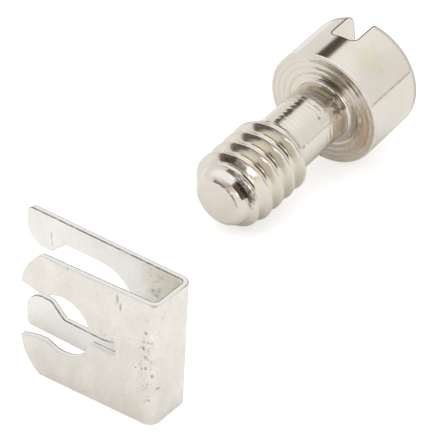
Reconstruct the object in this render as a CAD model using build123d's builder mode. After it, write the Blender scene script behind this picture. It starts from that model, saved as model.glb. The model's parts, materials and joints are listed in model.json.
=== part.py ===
from build123d import *
import math
import os

os.makedirs("parts", exist_ok=True)

# ---------------------------------------------------------------- driving dimensions (mm, degrees)
# Screw: a 4-40 unified coarse thread sets the size of everything else.
thread_d = 2.845            # major diameter, 4-40
thread_pitch = 25.4 / 40    # 40 turns per inch
thread_depth = 0.54127 * thread_pitch
crest_flat = thread_pitch / 8
flank_half_angle = 30.0

neck_d = thread_d - 2 * thread_depth    # plain neck, turned to the root diameter of the thread
shank_length = 6.00         # underside of the head to the end of the screw
neck_length = 2.64          # underside of the head to where the neck starts to grow into the thread
runout_length = 0.34        # cone between the neck and the full thread
runin_length = 0.34         # cone at the leading end of the thread
point_length = 0.40         # pilot point beyond the thread
point_chamfer = 0.14        # how far back its chamfer reaches
point_d = 1.58              # flat face at the very end
pilot_d = 1.94              # where the chamfer meets the taper of the pilot

head_d = 4.32
head_height = 2.80
head_crown_radius = 0.44    # rounded rim of the driven face
head_rim_chamfer = 0.07     # broken edge of the underside
neck_fillet = 0.12          # between the underside of the head and the neck
slot_width = 1.02
slot_depth = 1.46
slot_corner = 0.26          # rounded corners along the floor of the slot
slot_turn = -3.5            # direction of the driver slot from upright, about the axis
crest_mark = 5.08           # head to the crest that lies on top of the resting screw

# Clip: one strip of spring steel folded into a U that stands on its cut edges.
sheet = 0.20
clip_height = 4.38
clip_gap = 1.82             # over both legs at the fold
bend_radius = 0.17          # inside of both bends
back_leg_splay = 2.4        # the long leg opens away from the short one
mid_height = clip_height / 2

front_leg = 4.98            # fold to the tips of the short leg
keyhole_grip = 0.10         # the keyhole is this much smaller than the neck it springs onto
keyhole_d = neck_d - keyhole_grip
keyhole_reach = 3.41        # fold to the centre of the keyhole
throat_width = 1.68
throat_start = 4.36         # fold to where the throat starts to flare
tip_rise = 1.04             # half the mouth at the tips
shoulder_run = 0.72         # leg direction, rounded shoulders outside the tips
shoulder_bulge = 0.10
relief_slit_width = 0.46
relief_slit_rise = 0.05     # the slit lies a little above the middle of the leg
relief_slit_end = 1.44      # fold to the blind end of the slit
relief_slit_round = 0.05
slit_mouth_round = 0.08     # where the slit runs out into the keyhole
throat_round = 0.28         # where the keyhole runs out into the throat
tip_round = 0.06

back_leg = 6.21             # fold to the ends of the long leg
pocket_height = 2.82        # long opening of the back leg
pocket_reach = 3.32         # fold to the centre of the pocket's rounded end
pocket_length = 1.41        # straight part of the pocket
back_mouth_width = 1.88
back_mouth_start = 5.24     # fold to the narrow part of the mouth
arm_inner_radius = 0.62     # rounded inner corners of the two arms
arm_outer_radius = 0.18
slope_round = 0.20          # where the mouth widens into the pocket

# Places: the clip stands, the screw lies on the rim of its head and on its thread.
screw_x = -4.20             # middle of the head's underside, from the outside of the fold
screw_y = 15.45             # and from the outside of the short leg
screw_yaw = 1.5             # the screw's axis against the direction across the clip

# ---------------------------------------------------------------- values that follow
thread_r = thread_d / 2
neck_r = neck_d / 2
head_r = head_d / 2
thread_start = neck_length + runout_length          # full thread begins, from the head
thread_end = shank_length - point_length - runin_length
rest_tilt = math.degrees(math.atan2(head_r - thread_r, thread_end + head_rim_chamfer))


# ---------------------------------------------------------------- screw
def make_blank():
    """Turned blank: head, neck, cone, thread barrel, cone and rounded end. Axis on +Z, head up."""
    with BuildPart() as blank:
        with BuildSketch(Plane.XZ):
            with BuildLine():
                Polyline(
                    (0, -shank_length),
                    (point_d / 2, -shank_length),
                    (pilot_d / 2, -shank_length + point_chamfer),
                    (neck_r, -shank_length + point_length),
                    (neck_r, -neck_fillet),
                )
                RadiusArc(
                    (neck_r, -neck_fillet),
                    (neck_r + neck_fillet, 0),
                    neck_fillet,
                )
                Polyline(
                    (neck_r + neck_fillet, 0),
                    (head_r - head_rim_chamfer, 0),
                    (head_r, head_rim_chamfer),
                    (head_r, head_height - head_crown_radius),
                )
                RadiusArc(
                    (head_r, head_height - head_crown_radius),
                    (head_r - head_crown_radius, head_height),
                    -head_crown_radius,
                )
                Polyline(
                    (head_r - head_crown_radius, head_height),
                    (0, head_height),
                    (0, -shank_length),
                )
            make_face()
        revolve(axis=Axis.Z)
    return blank


def make_ridge():
    """Right-hand helical ridge, trimmed by the barrel with its run-in and run-out cones."""
    root = 0.06                         # how deep the ridge is sunk into the core
    skin = 0.01                         # keeps the trimming faces off the ridge's own faces
    inner = neck_r - 4 * root
    turns = 7
    lead = turns * thread_pitch
    foot = -crest_mark - 1.75 * thread_pitch        # a crest passes the crest mark a quarter turn on
    base_half = crest_flat / 2 + (thread_depth + root) * math.tan(math.radians(flank_half_angle))
    with BuildPart() as ridge:
        with BuildLine(Plane.XY.offset(foot)) as path:
            Helix(pitch=thread_pitch, height=lead, radius=neck_r)
        with BuildSketch(Plane(origin=path.line @ 0, x_dir=(1, 0, 0), z_dir=path.line % 0)):
            Polygon(
                (-root, -base_half),
                (thread_depth, -crest_flat / 2),
                (thread_depth, crest_flat / 2),
                (-root, base_half),
                align=None,
            )
        sweep(path=path.line, is_frenet=True)
        with BuildSketch(Plane.XZ):
            with BuildLine():
                Polyline(
                    (inner, -neck_length),
                    (neck_r - skin, -neck_length),
                    (thread_r + skin, -thread_start),
                    (thread_r + skin, -thread_end),
                    (neck_r - skin, -thread_end - runin_length),
                    (inner, -thread_end - runin_length),
                    (inner, -neck_length),
                )
            make_face()
        revolve(axis=Axis.Z, mode=Mode.INTERSECT)
    return ridge


def make_screw():
    blank = make_blank()
    ridge = make_ridge()
    turn = math.radians(slot_turn)
    across = Plane(
        origin=(0, 0, head_height),
        x_dir=(math.cos(turn), math.sin(turn), 0),
        z_dir=(-math.sin(turn), math.cos(turn), 0),
    )
    with BuildPart() as screw:
        add(blank.part)
        add(ridge.part)
        with BuildSketch(across) as slot:
            Rectangle(slot_width, slot_depth, align=(Align.CENTER, Align.MIN))
            fillet(
                slot.vertices().filter_by(lambda v: v.Y > slot_depth - 0.01),
                radius=slot_corner,
            )
        extrude(amount=head_d, both=True, mode=Mode.SUBTRACT)
    return screw


def place_screw(upright):
    """Laid down on the rim of its head and on its thread, tip toward the clip."""
    tipped = upright.part.rotate(Axis.X, -90 + rest_tilt)
    turned = tipped.rotate(Axis.Z, -screw_yaw)
    lean = math.radians(rest_tilt)
    height = head_r * math.cos(lean) - head_rim_chamfer * math.sin(lean)
    return turned.moved(Location((screw_x, screw_y, height)))


# ---------------------------------------------------------------- clip
def make_strip():
    """Folded strip: short leg on Y = 0, outside of the fold on X = 0, long leg splayed."""
    splay = math.radians(back_leg_splay)
    with BuildPart() as strip:
        with BuildSketch():
            with BuildLine():
                FilletPolyline(
                    (-front_leg, 0),
                    (0, 0),
                    (0, clip_gap),
                    (-back_leg * math.cos(splay), clip_gap + back_leg * math.sin(splay)),
                    radius=bend_radius + sheet,
                )
                offset(amount=sheet, side=Side.LEFT)
            make_face()
        extrude(amount=clip_height)
    return strip


def mirrored_loop(upper):
    """Closed loop from the points of its upper half, running from one end of the mid line."""
    lower = [(x, -z) for x, z in reversed(upper)]
    return upper + lower


def short_leg_outline():
    """Stamped outline of the short leg, about the mid line: two hooks round a keyhole."""
    throat = throat_width / 2
    half = clip_height / 2
    with BuildSketch() as outline:
        with BuildLine():
            Polyline((-bend_radius, -half), (-bend_radius, half), (-front_leg + shoulder_run, half))
            ThreePointArc(
                (-front_leg + shoulder_run, half),
                (
                    -front_leg + shoulder_run / 2 - shoulder_bulge,
                    (half + tip_rise) / 2 + shoulder_bulge,
                ),
                (-front_leg, tip_rise),
            )
            Line((-front_leg, tip_rise), (-front_leg, -tip_rise))
            ThreePointArc(
                (-front_leg, -tip_rise),
                (
                    -front_leg + shoulder_run / 2 - shoulder_bulge,
                    -(half + tip_rise) / 2 - shoulder_bulge,
                ),
                (-front_leg + shoulder_run, -half),
            )
            Line((-front_leg + shoulder_run, -half), (-bend_radius, -half))
        make_face()
        with BuildLine():
            Polyline(
                *mirrored_loop(
                    [
                        (-keyhole_reach, throat),
                        (-throat_start, throat),
                        (-front_leg, tip_rise - tip_round),
                        (-front_leg - sheet, tip_rise - tip_round),
                    ]
                ),
                close=True,
            )
        make_face(mode=Mode.SUBTRACT)
        with Locations((-keyhole_reach, 0)):
            Circle(keyhole_d / 2, mode=Mode.SUBTRACT)
        with Locations((-relief_slit_end, relief_slit_rise)):
            Rectangle(
                keyhole_reach - relief_slit_end,
                relief_slit_width,
                align=(Align.MAX, Align.CENTER),
                mode=Mode.SUBTRACT,
            )
        throat_corners = outline.vertices().filter_by(
            lambda v: abs(abs(v.Y) - throat) < 0.01 and v.X > -throat_start + 0.05
        )
        fillet(throat_corners, radius=throat_round)
        blind_corners = outline.vertices().filter_by(
            lambda v: abs(v.X + relief_slit_end) < 0.01
        )
        fillet(blind_corners, radius=relief_slit_round)
        mouth_corners = outline.vertices().filter_by(
            lambda v: abs(abs(v.Y - relief_slit_rise) - relief_slit_width / 2) < 0.01
            and -keyhole_reach < v.X < -relief_slit_end - 2 * relief_slit_round
        )
        fillet(mouth_corners, radius=slit_mouth_round)
    return outline


def long_leg_outline():
    """Stamped outline of the long leg, about the mid line: two round-ended arms and a long pocket."""
    mouth = back_mouth_width / 2
    pocket = pocket_height / 2
    half = clip_height / 2
    with BuildSketch() as outline:
        with Locations((-back_leg, 0)):
            Rectangle(
                back_leg - bend_radius,
                clip_height,
                align=(Align.MIN, Align.CENTER),
            )
        with BuildLine():
            Polyline(
                *mirrored_loop(
                    [
                        (-pocket_reach, pocket),
                        (-pocket_reach - pocket_length, pocket),
                        (-back_mouth_start, mouth),
                        (-back_leg - sheet, mouth),
                    ]
                ),
                close=True,
            )
        make_face(mode=Mode.SUBTRACT)
        with Locations((-pocket_reach, 0)):
            Circle(pocket, mode=Mode.SUBTRACT)
        ends = outline.vertices().filter_by(lambda v: abs(v.X + back_leg) < 0.01)
        fillet(ends.filter_by(lambda v: abs(v.Y) < mouth + 0.01), radius=arm_inner_radius)
        ends = outline.vertices().filter_by(lambda v: abs(v.X + back_leg) < 0.01)
        fillet(ends.filter_by(lambda v: abs(v.Y) > half - 0.01), radius=arm_outer_radius)
        slopes = outline.vertices().filter_by(
            lambda v: -pocket_reach - pocket_length - 0.01 > v.X - 0.02 and abs(v.X) < back_mouth_start + 0.02
        )
        fillet(slopes, radius=slope_round)
    return outline


def waste_round(outline, reach):
    """Sheet outside an outline, from the bends to beyond the free end of the leg."""
    with BuildSketch() as waste:
        with Locations((-bend_radius, 0)):
            Rectangle(
                reach + 4 * sheet,
                clip_height + 4 * sheet,
                align=(Align.MAX, Align.CENTER),
            )
        add(outline.sketch, mode=Mode.SUBTRACT)
    return waste


def make_clip():
    splay = math.radians(back_leg_splay)
    short_plane = Plane(
        origin=(0, 0, mid_height),
        x_dir=(1, 0, 0),
        z_dir=(0, -1, 0),
    )
    long_plane = Plane(
        origin=(0, clip_gap, mid_height),
        x_dir=(math.cos(splay), -math.sin(splay), 0),
        z_dir=(-math.sin(splay), -math.cos(splay), 0),
    )
    strip = make_strip()
    short_waste = waste_round(short_leg_outline(), front_leg)
    long_waste = waste_round(long_leg_outline(), back_leg)
    with BuildPart() as clip:
        add(strip.part)
        with BuildSketch(short_plane):
            add(short_waste.sketch)
        extrude(amount=2 * sheet, both=True, mode=Mode.SUBTRACT)
        with BuildSketch(long_plane):
            add(long_waste.sketch)
        extrude(amount=2 * sheet, both=True, mode=Mode.SUBTRACT)
    return clip


# ---------------------------------------------------------------- set, with its origin under its middle
def middle_of(*pieces):
    """Offset that brings the middle of the pieces' common box over the origin."""
    boxes = [piece.bounding_box() for piece in pieces]
    low_x = min(box.min.X for box in boxes)
    high_x = max(box.max.X for box in boxes)
    low_y = min(box.min.Y for box in boxes)
    high_y = max(box.max.Y for box in boxes)
    return Location((-(low_x + high_x) / 2, -(low_y + high_y) / 2, 0))


lying = place_screw(make_screw())
standing = make_clip().part
to_middle = middle_of(lying, standing)

with BuildPart() as captive_screw:
    add(lying.moved(to_middle))

with BuildPart() as retaining_clip:
    add(standing.moved(to_middle))

captive_screw.part.label = "captive_screw"
export_step(captive_screw.part, "parts/captive_screw.step")

retaining_clip.part.label = "retaining_clip"
export_step(retaining_clip.part, "parts/retaining_clip.step")

print("offset to the middle", to_middle.position.X, to_middle.position.Y)
print("screw", captive_screw.part.volume, "clip", retaining_clip.part.volume)
print("rest tilt", rest_tilt)
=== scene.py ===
# %% [markdown]
# # A captive panel screw and its retaining clip
# Two small metal pieces lie on a pale table: a turned, nickel-plated screw with a long thin neck, and the
# folded spring clip that snaps over that neck and keeps the screw in its panel. This lesson builds both as
# clean meshes in the same place and at the same size as the construction model, gives each the finish
# of its real metal, and lights them so that the metal has something to mirror. Cells share what they
# have made: run them from the top.

import json
import math

import bmesh
import bpy
from mathutils import Matrix, Vector


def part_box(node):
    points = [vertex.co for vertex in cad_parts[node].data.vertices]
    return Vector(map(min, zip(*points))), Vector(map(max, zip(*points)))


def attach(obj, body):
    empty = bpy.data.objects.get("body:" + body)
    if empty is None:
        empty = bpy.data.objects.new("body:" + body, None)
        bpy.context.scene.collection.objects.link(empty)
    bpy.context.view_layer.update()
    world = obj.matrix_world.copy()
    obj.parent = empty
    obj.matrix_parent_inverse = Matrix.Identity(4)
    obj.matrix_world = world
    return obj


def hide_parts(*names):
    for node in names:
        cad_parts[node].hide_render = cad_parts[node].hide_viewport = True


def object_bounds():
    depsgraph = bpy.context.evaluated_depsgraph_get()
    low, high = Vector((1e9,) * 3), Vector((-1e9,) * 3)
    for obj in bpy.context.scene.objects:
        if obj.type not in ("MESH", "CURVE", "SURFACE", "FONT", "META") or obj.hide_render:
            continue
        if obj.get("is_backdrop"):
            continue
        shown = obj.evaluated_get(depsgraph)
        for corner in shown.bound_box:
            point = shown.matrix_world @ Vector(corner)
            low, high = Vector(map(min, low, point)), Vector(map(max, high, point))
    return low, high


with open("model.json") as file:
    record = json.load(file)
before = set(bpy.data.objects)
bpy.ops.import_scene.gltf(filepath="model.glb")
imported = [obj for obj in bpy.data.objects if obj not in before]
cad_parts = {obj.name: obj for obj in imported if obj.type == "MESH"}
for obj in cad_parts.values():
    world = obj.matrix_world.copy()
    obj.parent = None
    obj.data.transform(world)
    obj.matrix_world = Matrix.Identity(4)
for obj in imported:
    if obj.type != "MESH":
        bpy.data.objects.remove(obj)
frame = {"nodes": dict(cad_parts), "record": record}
cad_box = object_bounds()
MM = 0.001
mounts = {mount["name"]: mount for mount in frame["record"]["mounts"]}
print("nodes:", sorted(frame["nodes"]), "mounts:", sorted(mounts))

# %% [markdown]
# ## Sizes
# Every size is a named value in millimetres, the same as in the construction model. The thread is a
# 4-40 coarse thread, and the neck is turned down to the root of that thread. Heights on the screw are
# counted from the underside of its head, and the head is up.

# %% Sizes of the screw
THREAD_R = 1.4225
PITCH = 25.4 / 40
THREAD_DEPTH = 0.54127 * PITCH
NECK_R = THREAD_R - THREAD_DEPTH
SHANK = 6.00
NECK_LENGTH = 2.64
RUN_OUT = 0.34
RUN_IN = 0.34
POINT_LENGTH = 0.40
POINT_CHAMFER = 0.14
POINT_R = 0.79
POINT_FLAT = 0.50
POINT_ROUND = 0.10
PILOT_R = 0.97
HEAD_R = 2.16
HEAD_HEIGHT = 2.80
CROWN_ROUND = 0.44
RIM_CHAMFER = 0.07
NECK_FILLET = 0.12
SLOT_WIDTH = 1.02
SLOT_DEPTH = 1.46
SLOT_CORNER = 0.26
SLOT_BREAK = 0.04
SLOT_TURN = math.radians(-3.5)
# How far below the head the crest stands that fixes the turn of the thread.
CREST_MARK = 5.08
# Points round the axis.
AROUND = 160
# An extra ring this far from a rounding keeps the straight side straight in the shading.
HOLD = 0.03
print("neck radius", round(NECK_R, 4))

# %% Sizes of the clip
SHEET = 0.20
CLIP_HEIGHT = 4.38
CLIP_GAP = 1.82
BEND_OUT = 0.37
SPLAY = math.radians(2.4)
SHORT_LEG = 4.98
KEYHOLE_R = NECK_R - 0.05
KEYHOLE_REACH = 3.41
THROAT = 0.84
THROAT_START = 4.36
THROAT_ROUND = 0.28
TIP_RISE = 1.04
TIP_ROUND = 0.06
SHOULDER_RUN = 0.72
SHOULDER_BULGE = 0.10
SLIT_HALF = 0.23
SLIT_RISE = 0.05
SLIT_MOUTH_ROUND = 0.08
SLIT_END = 1.44
SLIT_ROUND = 0.05
LONG_LEG = 6.21
POCKET_R = 1.41
POCKET_REACH = 3.32
POCKET_LENGTH = 1.41
MOUTH = 0.94
MOUTH_START = 5.24
SLOPE_ROUND = 0.20
ARM_INNER_R = 0.62
ARM_OUTER_R = 0.18
EDGE_BREAK = 0.018
print("clip legs", SHORT_LEG, LONG_LEG)

# %% [markdown]
# ## Camera
# A long lens far away keeps parallel edges nearly parallel, as in a catalogue picture of a small part. It
# looks down at about a third of a right angle, from the fold side of the clip. The camera could track an
# empty object, but three angles, a distance and a point to aim at say the same without a constraint.

# %% Place the camera
# The distance, the point to aim at, the lens and the sensor are in mm.
CAMERA_TURN = math.radians(33.12)
CAMERA_DROP = math.radians(33.92)
CAMERA_ROLL = math.radians(3.22)
CAMERA_AWAY = 80.78
AIM = Vector((2.725, -5.374, 5.175))
FOCAL_LENGTH = 220.4
SENSOR = 36
# What the camera can see, in metres.
NEAREST = 0.005
FARTHEST = 5


def place_camera():
    """Back points from what it aims at to the camera. The roll turns it about that line."""
    back = Vector(
        (
            math.sin(CAMERA_TURN) * math.cos(CAMERA_DROP),
            -math.cos(CAMERA_TURN) * math.cos(CAMERA_DROP),
            math.sin(CAMERA_DROP),
        )
    )
    level = Vector((math.cos(CAMERA_TURN), math.sin(CAMERA_TURN), 0))
    upright = back.cross(level)
    right = math.cos(CAMERA_ROLL) * level + math.sin(CAMERA_ROLL) * upright
    up = back.cross(right)
    data = bpy.data.cameras.new("camera")
    data.sensor_width = SENSOR
    data.lens = FOCAL_LENGTH
    data.clip_start = NEAREST
    data.clip_end = FARTHEST
    camera = bpy.data.objects.new("camera", data)
    turn = Matrix((right, up, back)).transposed().to_4x4()
    camera.matrix_world = Matrix.Translation((AIM + CAMERA_AWAY * back) * MM) @ turn
    bpy.context.scene.collection.objects.link(camera)
    bpy.context.scene.camera = camera
    return camera


camera = place_camera()
print("camera at", [round(v / MM, 1) for v in camera.location], "mm")

# %% [markdown]
# ## Small helpers
# Colours are written as the hex values a designer would pick and turned to linear light by one function.
# One function adds a node with its settings and links, in a material as in Geometry Nodes. A tree could
# be drawn by hand in the editor, but a tree in code can use the sizes above and be read line by line.

# %% Colour and node helpers
# Kinds of node that come back often, two of their settings, and where a colour Mix keeps its colours.
MATH = "ShaderNodeMath"
VECTOR_MATH = "ShaderNodeVectorMath"
RANGE = "ShaderNodeMapRange"
NOISE = "ShaderNodeTexNoise"
MIX = "ShaderNodeMix"
IN_COLOUR = {"data_type": "RGBA"}
SMOOTHLY = {"interpolation_type": "SMOOTHSTEP"}
FROM = 6
TO = 7
MIXED = 2


def linear(hex_colour):
    """An sRGB hex colour as linear light."""
    channels = [int(hex_colour[i : i + 2], 16) / 255 for i in (1, 3, 5)]
    bright = [c / 12.92 if c <= 0.04045 else ((c + 0.055) / 1.055) ** 2.4 for c in channels]
    return (*bright, 1.0)


def add_node(tree, kind, settings=None, inputs=None):
    """Add a node. An input is a number, a colour, or the output of another node, which is linked."""
    node = tree.nodes.new(kind)
    for name, value in (settings or {}).items():
        setattr(node, name, value)
    for name, value in (inputs or {}).items():
        socket = node.inputs[name]
        if isinstance(value, bpy.types.NodeSocket):
            tree.links.new(value, socket)
        else:
            socket.default_value = value
    return node


def from_band(band):
    """The inputs with which a Map Range node reads a band of values."""
    return {"From Min": band[0], "From Max": band[1]}


def to_band(band):
    """The inputs with which a Map Range node gives out a band of values."""
    return {"To Min": band[0], "To Max": band[1]}


print("white is", linear("#FFFFFF"))

# %% Mesh helpers
def mesh_object(name, mesh):
    made = bpy.data.objects.new(name, mesh)
    bpy.context.scene.collection.objects.link(made)
    return made


def applied(carrier):
    """The mesh of an object with its modifiers applied. The object itself is removed."""
    graph = bpy.context.evaluated_depsgraph_get()
    mesh = bpy.data.meshes.new_from_object(carrier.evaluated_get(graph))
    bpy.data.objects.remove(carrier)
    return mesh


def shade_by_angle(mesh, degrees):
    """Smooth shading, but for edges sharper than the angle."""
    mesh.shade_smooth()
    mesh.set_sharp_from_angle(angle=math.radians(degrees))


# %% [markdown]
# ## The turned blank
# A screw starts as a bar in a lathe, so everything but the thread and the driver slot is one profile
# turned round the axis. The profile could be a curve with a Screw modifier. Rings of vertices made from
# a list of radius and height are just as short, and they let the rings of the facing tool under
# the head be part of the same list.

# %% Curves of a profile
def arc(centre, radius, start, end, steps):
    """Points on a circle, angles in degrees."""
    angles = [math.radians(start + (end - start) * i / steps) for i in range(steps + 1)]
    return [(centre[0] + radius * math.cos(a), centre[1] + radius * math.sin(a)) for a in angles]


# Degrees between two points of a rounded corner, and the fewest steps it may have.
ROUNDING_STEP = 6
LEAST_STEPS = 4


def rounded(points, radii):
    """A path through points whose corners are rounded. The first and last points have radius 0."""
    path = [points[0]]
    for before, corner, after, radius in zip(points, points[1:], points[2:], radii[1:]):
        b, c, a = Vector(before), Vector(corner), Vector(after)
        to_b, to_a = (b - c).normalized(), (a - c).normalized()
        opening = to_b.angle(to_a)
        if radius == 0:
            path.append(corner)
            continue
        cut = radius / math.tan(opening / 2)
        centre = c + (to_a + to_b).normalized() * radius / math.sin(opening / 2)
        start, end = c + to_b * cut - centre, c + to_a * cut - centre
        steps = max(LEAST_STEPS, round(math.degrees(start.angle(end)) / ROUNDING_STEP))
        turn = -start.angle_signed(end)
        for i in range(steps + 1):
            t = turn * i / steps
            x = start.x * math.cos(t) - start.y * math.sin(t)
            y = start.x * math.sin(t) + start.y * math.cos(t)
            path.append((centre.x + x, centre.y + y))
    path.append(points[-1])
    return path


print("points of a square corner's rounding:", len(rounded([(0, 1), (0, 0), (1, 0)], [0, 0.1, 0])) - 2)

# %% Rings under the head
# Rings that the facing tool leaves under the head, in mm: start, deepest and end radius, and depth.
FACING_RINGS = (
    (1.20, 1.34, 1.44, 0.025),
    (1.46, 1.57, 1.67, 0.020),
    (1.68, 1.79, 1.89, 0.022),
    (1.90, 2.00, 2.07, 0.020),
)
# Points on each side of a ring.
RING_STEPS = 6


def facing_marks():
    """Grooves under the head as (radius, depth), from the neck out to the rim."""
    marks = []
    for start, deepest, end, depth in FACING_RINGS:
        for low, high, rising in ((start, deepest, True), (deepest, end, False)):
            for i in range(RING_STEPS):
                ease = 0.5 - 0.5 * math.cos(math.pi * i / RING_STEPS)
                share = ease if rising else 1 - ease
                marks.append((low + (high - low) * i / RING_STEPS, depth * share))
    return marks


print("rings under the head:", len(FACING_RINGS))

# %% Profile of the blank
# The plate fills the corner where the pilot meets the neck. Its points lie this far inside the neck's
# radius and this far below its start, in mm.
PILOT_BLEND = ((0.012, 0.040), (0.003, 0.015), (0, 0))
# Steps round each rounding.
FILLET_STEPS = 8
RIM_STEPS = 5
CROWN_STEPS = 16


def blank_profile():
    """(radius, height) from the flat of the point to the flat of the crown."""
    low = -SHANK
    pilot_top = low + POINT_LENGTH
    corners = [(POINT_FLAT, low), (POINT_R, low), (PILOT_R, low + POINT_CHAMFER), (NECK_R, pilot_top)]
    profile = rounded(corners, [0, POINT_ROUND, POINT_ROUND, 0])[:-1]
    profile += [(NECK_R - inward, pilot_top - below) for inward, below in PILOT_BLEND]
    profile += [(NECK_R, -NECK_LENGTH), (NECK_R, -NECK_FILLET - HOLD), (NECK_R, -NECK_FILLET)]
    profile += arc((NECK_R + NECK_FILLET, -NECK_FILLET), NECK_FILLET, 180, 90, FILLET_STEPS)[1:]
    profile += facing_marks()
    profile += [(HEAD_R - RIM_CHAMFER, 0)]
    profile += arc((HEAD_R - RIM_CHAMFER, RIM_CHAMFER), RIM_CHAMFER, -90, 0, RIM_STEPS)[1:]
    top = HEAD_HEIGHT - CROWN_ROUND
    profile += [(HEAD_R, RIM_CHAMFER + HOLD), (HEAD_R, top - HOLD)]
    profile += arc((HEAD_R - CROWN_ROUND, top), CROWN_ROUND, 0, 90, CROWN_STEPS)
    return profile


print("profile points:", len(blank_profile()))

# %% Turn the profile
def turned(name, profile):
    """A closed skin of rings round the Z axis."""
    body = bmesh.new()
    rings = []
    for radius, height in profile:
        ring = []
        for k in range(AROUND):
            angle = 2 * math.pi * k / AROUND
            ring.append(body.verts.new((radius * math.cos(angle), radius * math.sin(angle), height)))
        rings.append(ring)
    for lower, upper in zip(rings, rings[1:]):
        for k in range(AROUND):
            n = (k + 1) % AROUND
            body.faces.new((lower[k], lower[n], upper[n], upper[k]))
    body.faces.new(list(reversed(rings[0])))
    body.faces.new(rings[-1])
    mesh = bpy.data.meshes.new(name)
    body.to_mesh(mesh)
    body.free()
    return mesh_object(name, mesh)


blank = turned("blank", blank_profile())
print("blank faces:", len(blank.data.polygons))

# %% [markdown]
# ## The driver slot
# On the machine a saw with rounded teeth runs across the crown. The slot could be woven into the rings of
# the blank by hand, but a Boolean does what the saw does: a bar of the same section is taken away. The
# sharp edges that it leaves are broken with a small bevel, as tumbling does before plating.

# %% Saw the slot
def saw_slot(body):
    """Take a bar with the saw's section out of the head."""
    side = SLOT_WIDTH / 2
    floor = HEAD_HEIGHT - SLOT_DEPTH
    corners = [(-side, 2 * HEAD_HEIGHT), (-side, floor), (side, floor), (side, 2 * HEAD_HEIGHT)]
    section = rounded(corners, [0, SLOT_CORNER, SLOT_CORNER, 0])
    tool = bmesh.new()
    near = [tool.verts.new((x, -2 * HEAD_R, z)) for x, z in section]
    far = [tool.verts.new((x, 2 * HEAD_R, z)) for x, z in section]
    tool.faces.new(near)
    tool.faces.new(list(reversed(far)))
    for k in range(len(section)):
        tool.faces.new((near[k], far[k], far[k - 1], near[k - 1]))
    bmesh.ops.recalc_face_normals(tool, faces=tool.faces)
    bmesh.ops.rotate(tool, matrix=Matrix.Rotation(SLOT_TURN, 3, "Z"), verts=tool.verts)
    cutter_mesh = bpy.data.meshes.new("saw")
    tool.to_mesh(cutter_mesh)
    tool.free()
    cutter = mesh_object("saw", cutter_mesh)
    cut = body.modifiers.new("slot", "BOOLEAN")
    cut.operation = "DIFFERENCE"
    cut.solver = "EXACT"
    cut.object = cutter
    graph = bpy.context.evaluated_depsgraph_get()
    result = bpy.data.meshes.new_from_object(body.evaluated_get(graph))
    body.modifiers.clear()
    body.data = result
    bpy.data.objects.remove(cutter)


saw_slot(blank)
print("faces with the slot:", len(blank.data.polygons))

# %% Break the slot's edges
# Sharper than this, in degrees, an edge of the slot is broken. Points this close, in mm, become one.
SHARP = 35
BOOLEAN_WELD = 1e-5
# How far below the slot's floor an edge may lie and still belong to it.
FLOOR_REACH = 0.01


def break_slot_edges(body):
    """Bevel the slot's outward edges. Its rounded floor is left alone."""
    work = bmesh.new()
    work.from_mesh(body.data)
    bmesh.ops.remove_doubles(work, verts=work.verts, dist=BOOLEAN_WELD)
    floor_height = HEAD_HEIGHT - SLOT_DEPTH
    sharp = []
    for edge in work.edges:
        middle = (edge.verts[0].co + edge.verts[1].co) / 2
        in_slot = middle.z > floor_height - FLOOR_REACH and len(edge.link_faces) == 2
        if in_slot and edge.calc_face_angle_signed(0) > math.radians(SHARP):
            sharp.append(edge)
    bmesh.ops.bevel(work, geom=sharp, offset=SLOT_BREAK, segments=1, affect="EDGES", clamp_overlap=True)
    work.to_mesh(body.data)
    work.free()


break_slot_edges(blank)
print("faces with broken edges:", len(blank.data.polygons))

# %% [markdown]
# ## The thread
# A thread is a rule: the radius depends on the height and on how far round the screw you are. It could
# be a swept profile, but a sweep leaves a raw start and end. Geometry Nodes can take a flat grid,
# wrap it round the axis and give every point its radius from the rule. The grid is sheared by one
# pitch, so its rows run along the thread and the crest stays a clean line. Two cones trim the ridge,
# which gives the run-in at the point and the run-out at the neck.

# %% Inputs of the thread
THREAD_SIZES = (
    "Pitch",
    "Core radius",
    "Crest radius",
    "Crest flat",
    "Low",
    "High",
    "Run in",
    "Run out",
    "First row",
    "Span",
    "Crest at",
)


def start_thread_tree():
    """An empty tree with a named input for every size of the thread."""
    tree = bpy.data.node_groups.new("rolled thread", "GeometryNodeTree")
    sockets = [(name, "NodeSocketFloat") for name in THREAD_SIZES]
    sockets += [("Columns", "NodeSocketInt"), ("Rows", "NodeSocketInt")]
    sockets += [("Material", "NodeSocketMaterial")]
    for name, kind in sockets:
        tree.interface.new_socket(name, in_out="INPUT", socket_type=kind)
    tree.interface.new_socket("Thread", in_out="OUTPUT", socket_type="NodeSocketGeometry")
    return tree


thread_tree = start_thread_tree()
given = add_node(thread_tree, "NodeGroupInput").outputs
print("sockets of the thread tree:", len(thread_tree.interface.items_tree))

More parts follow.
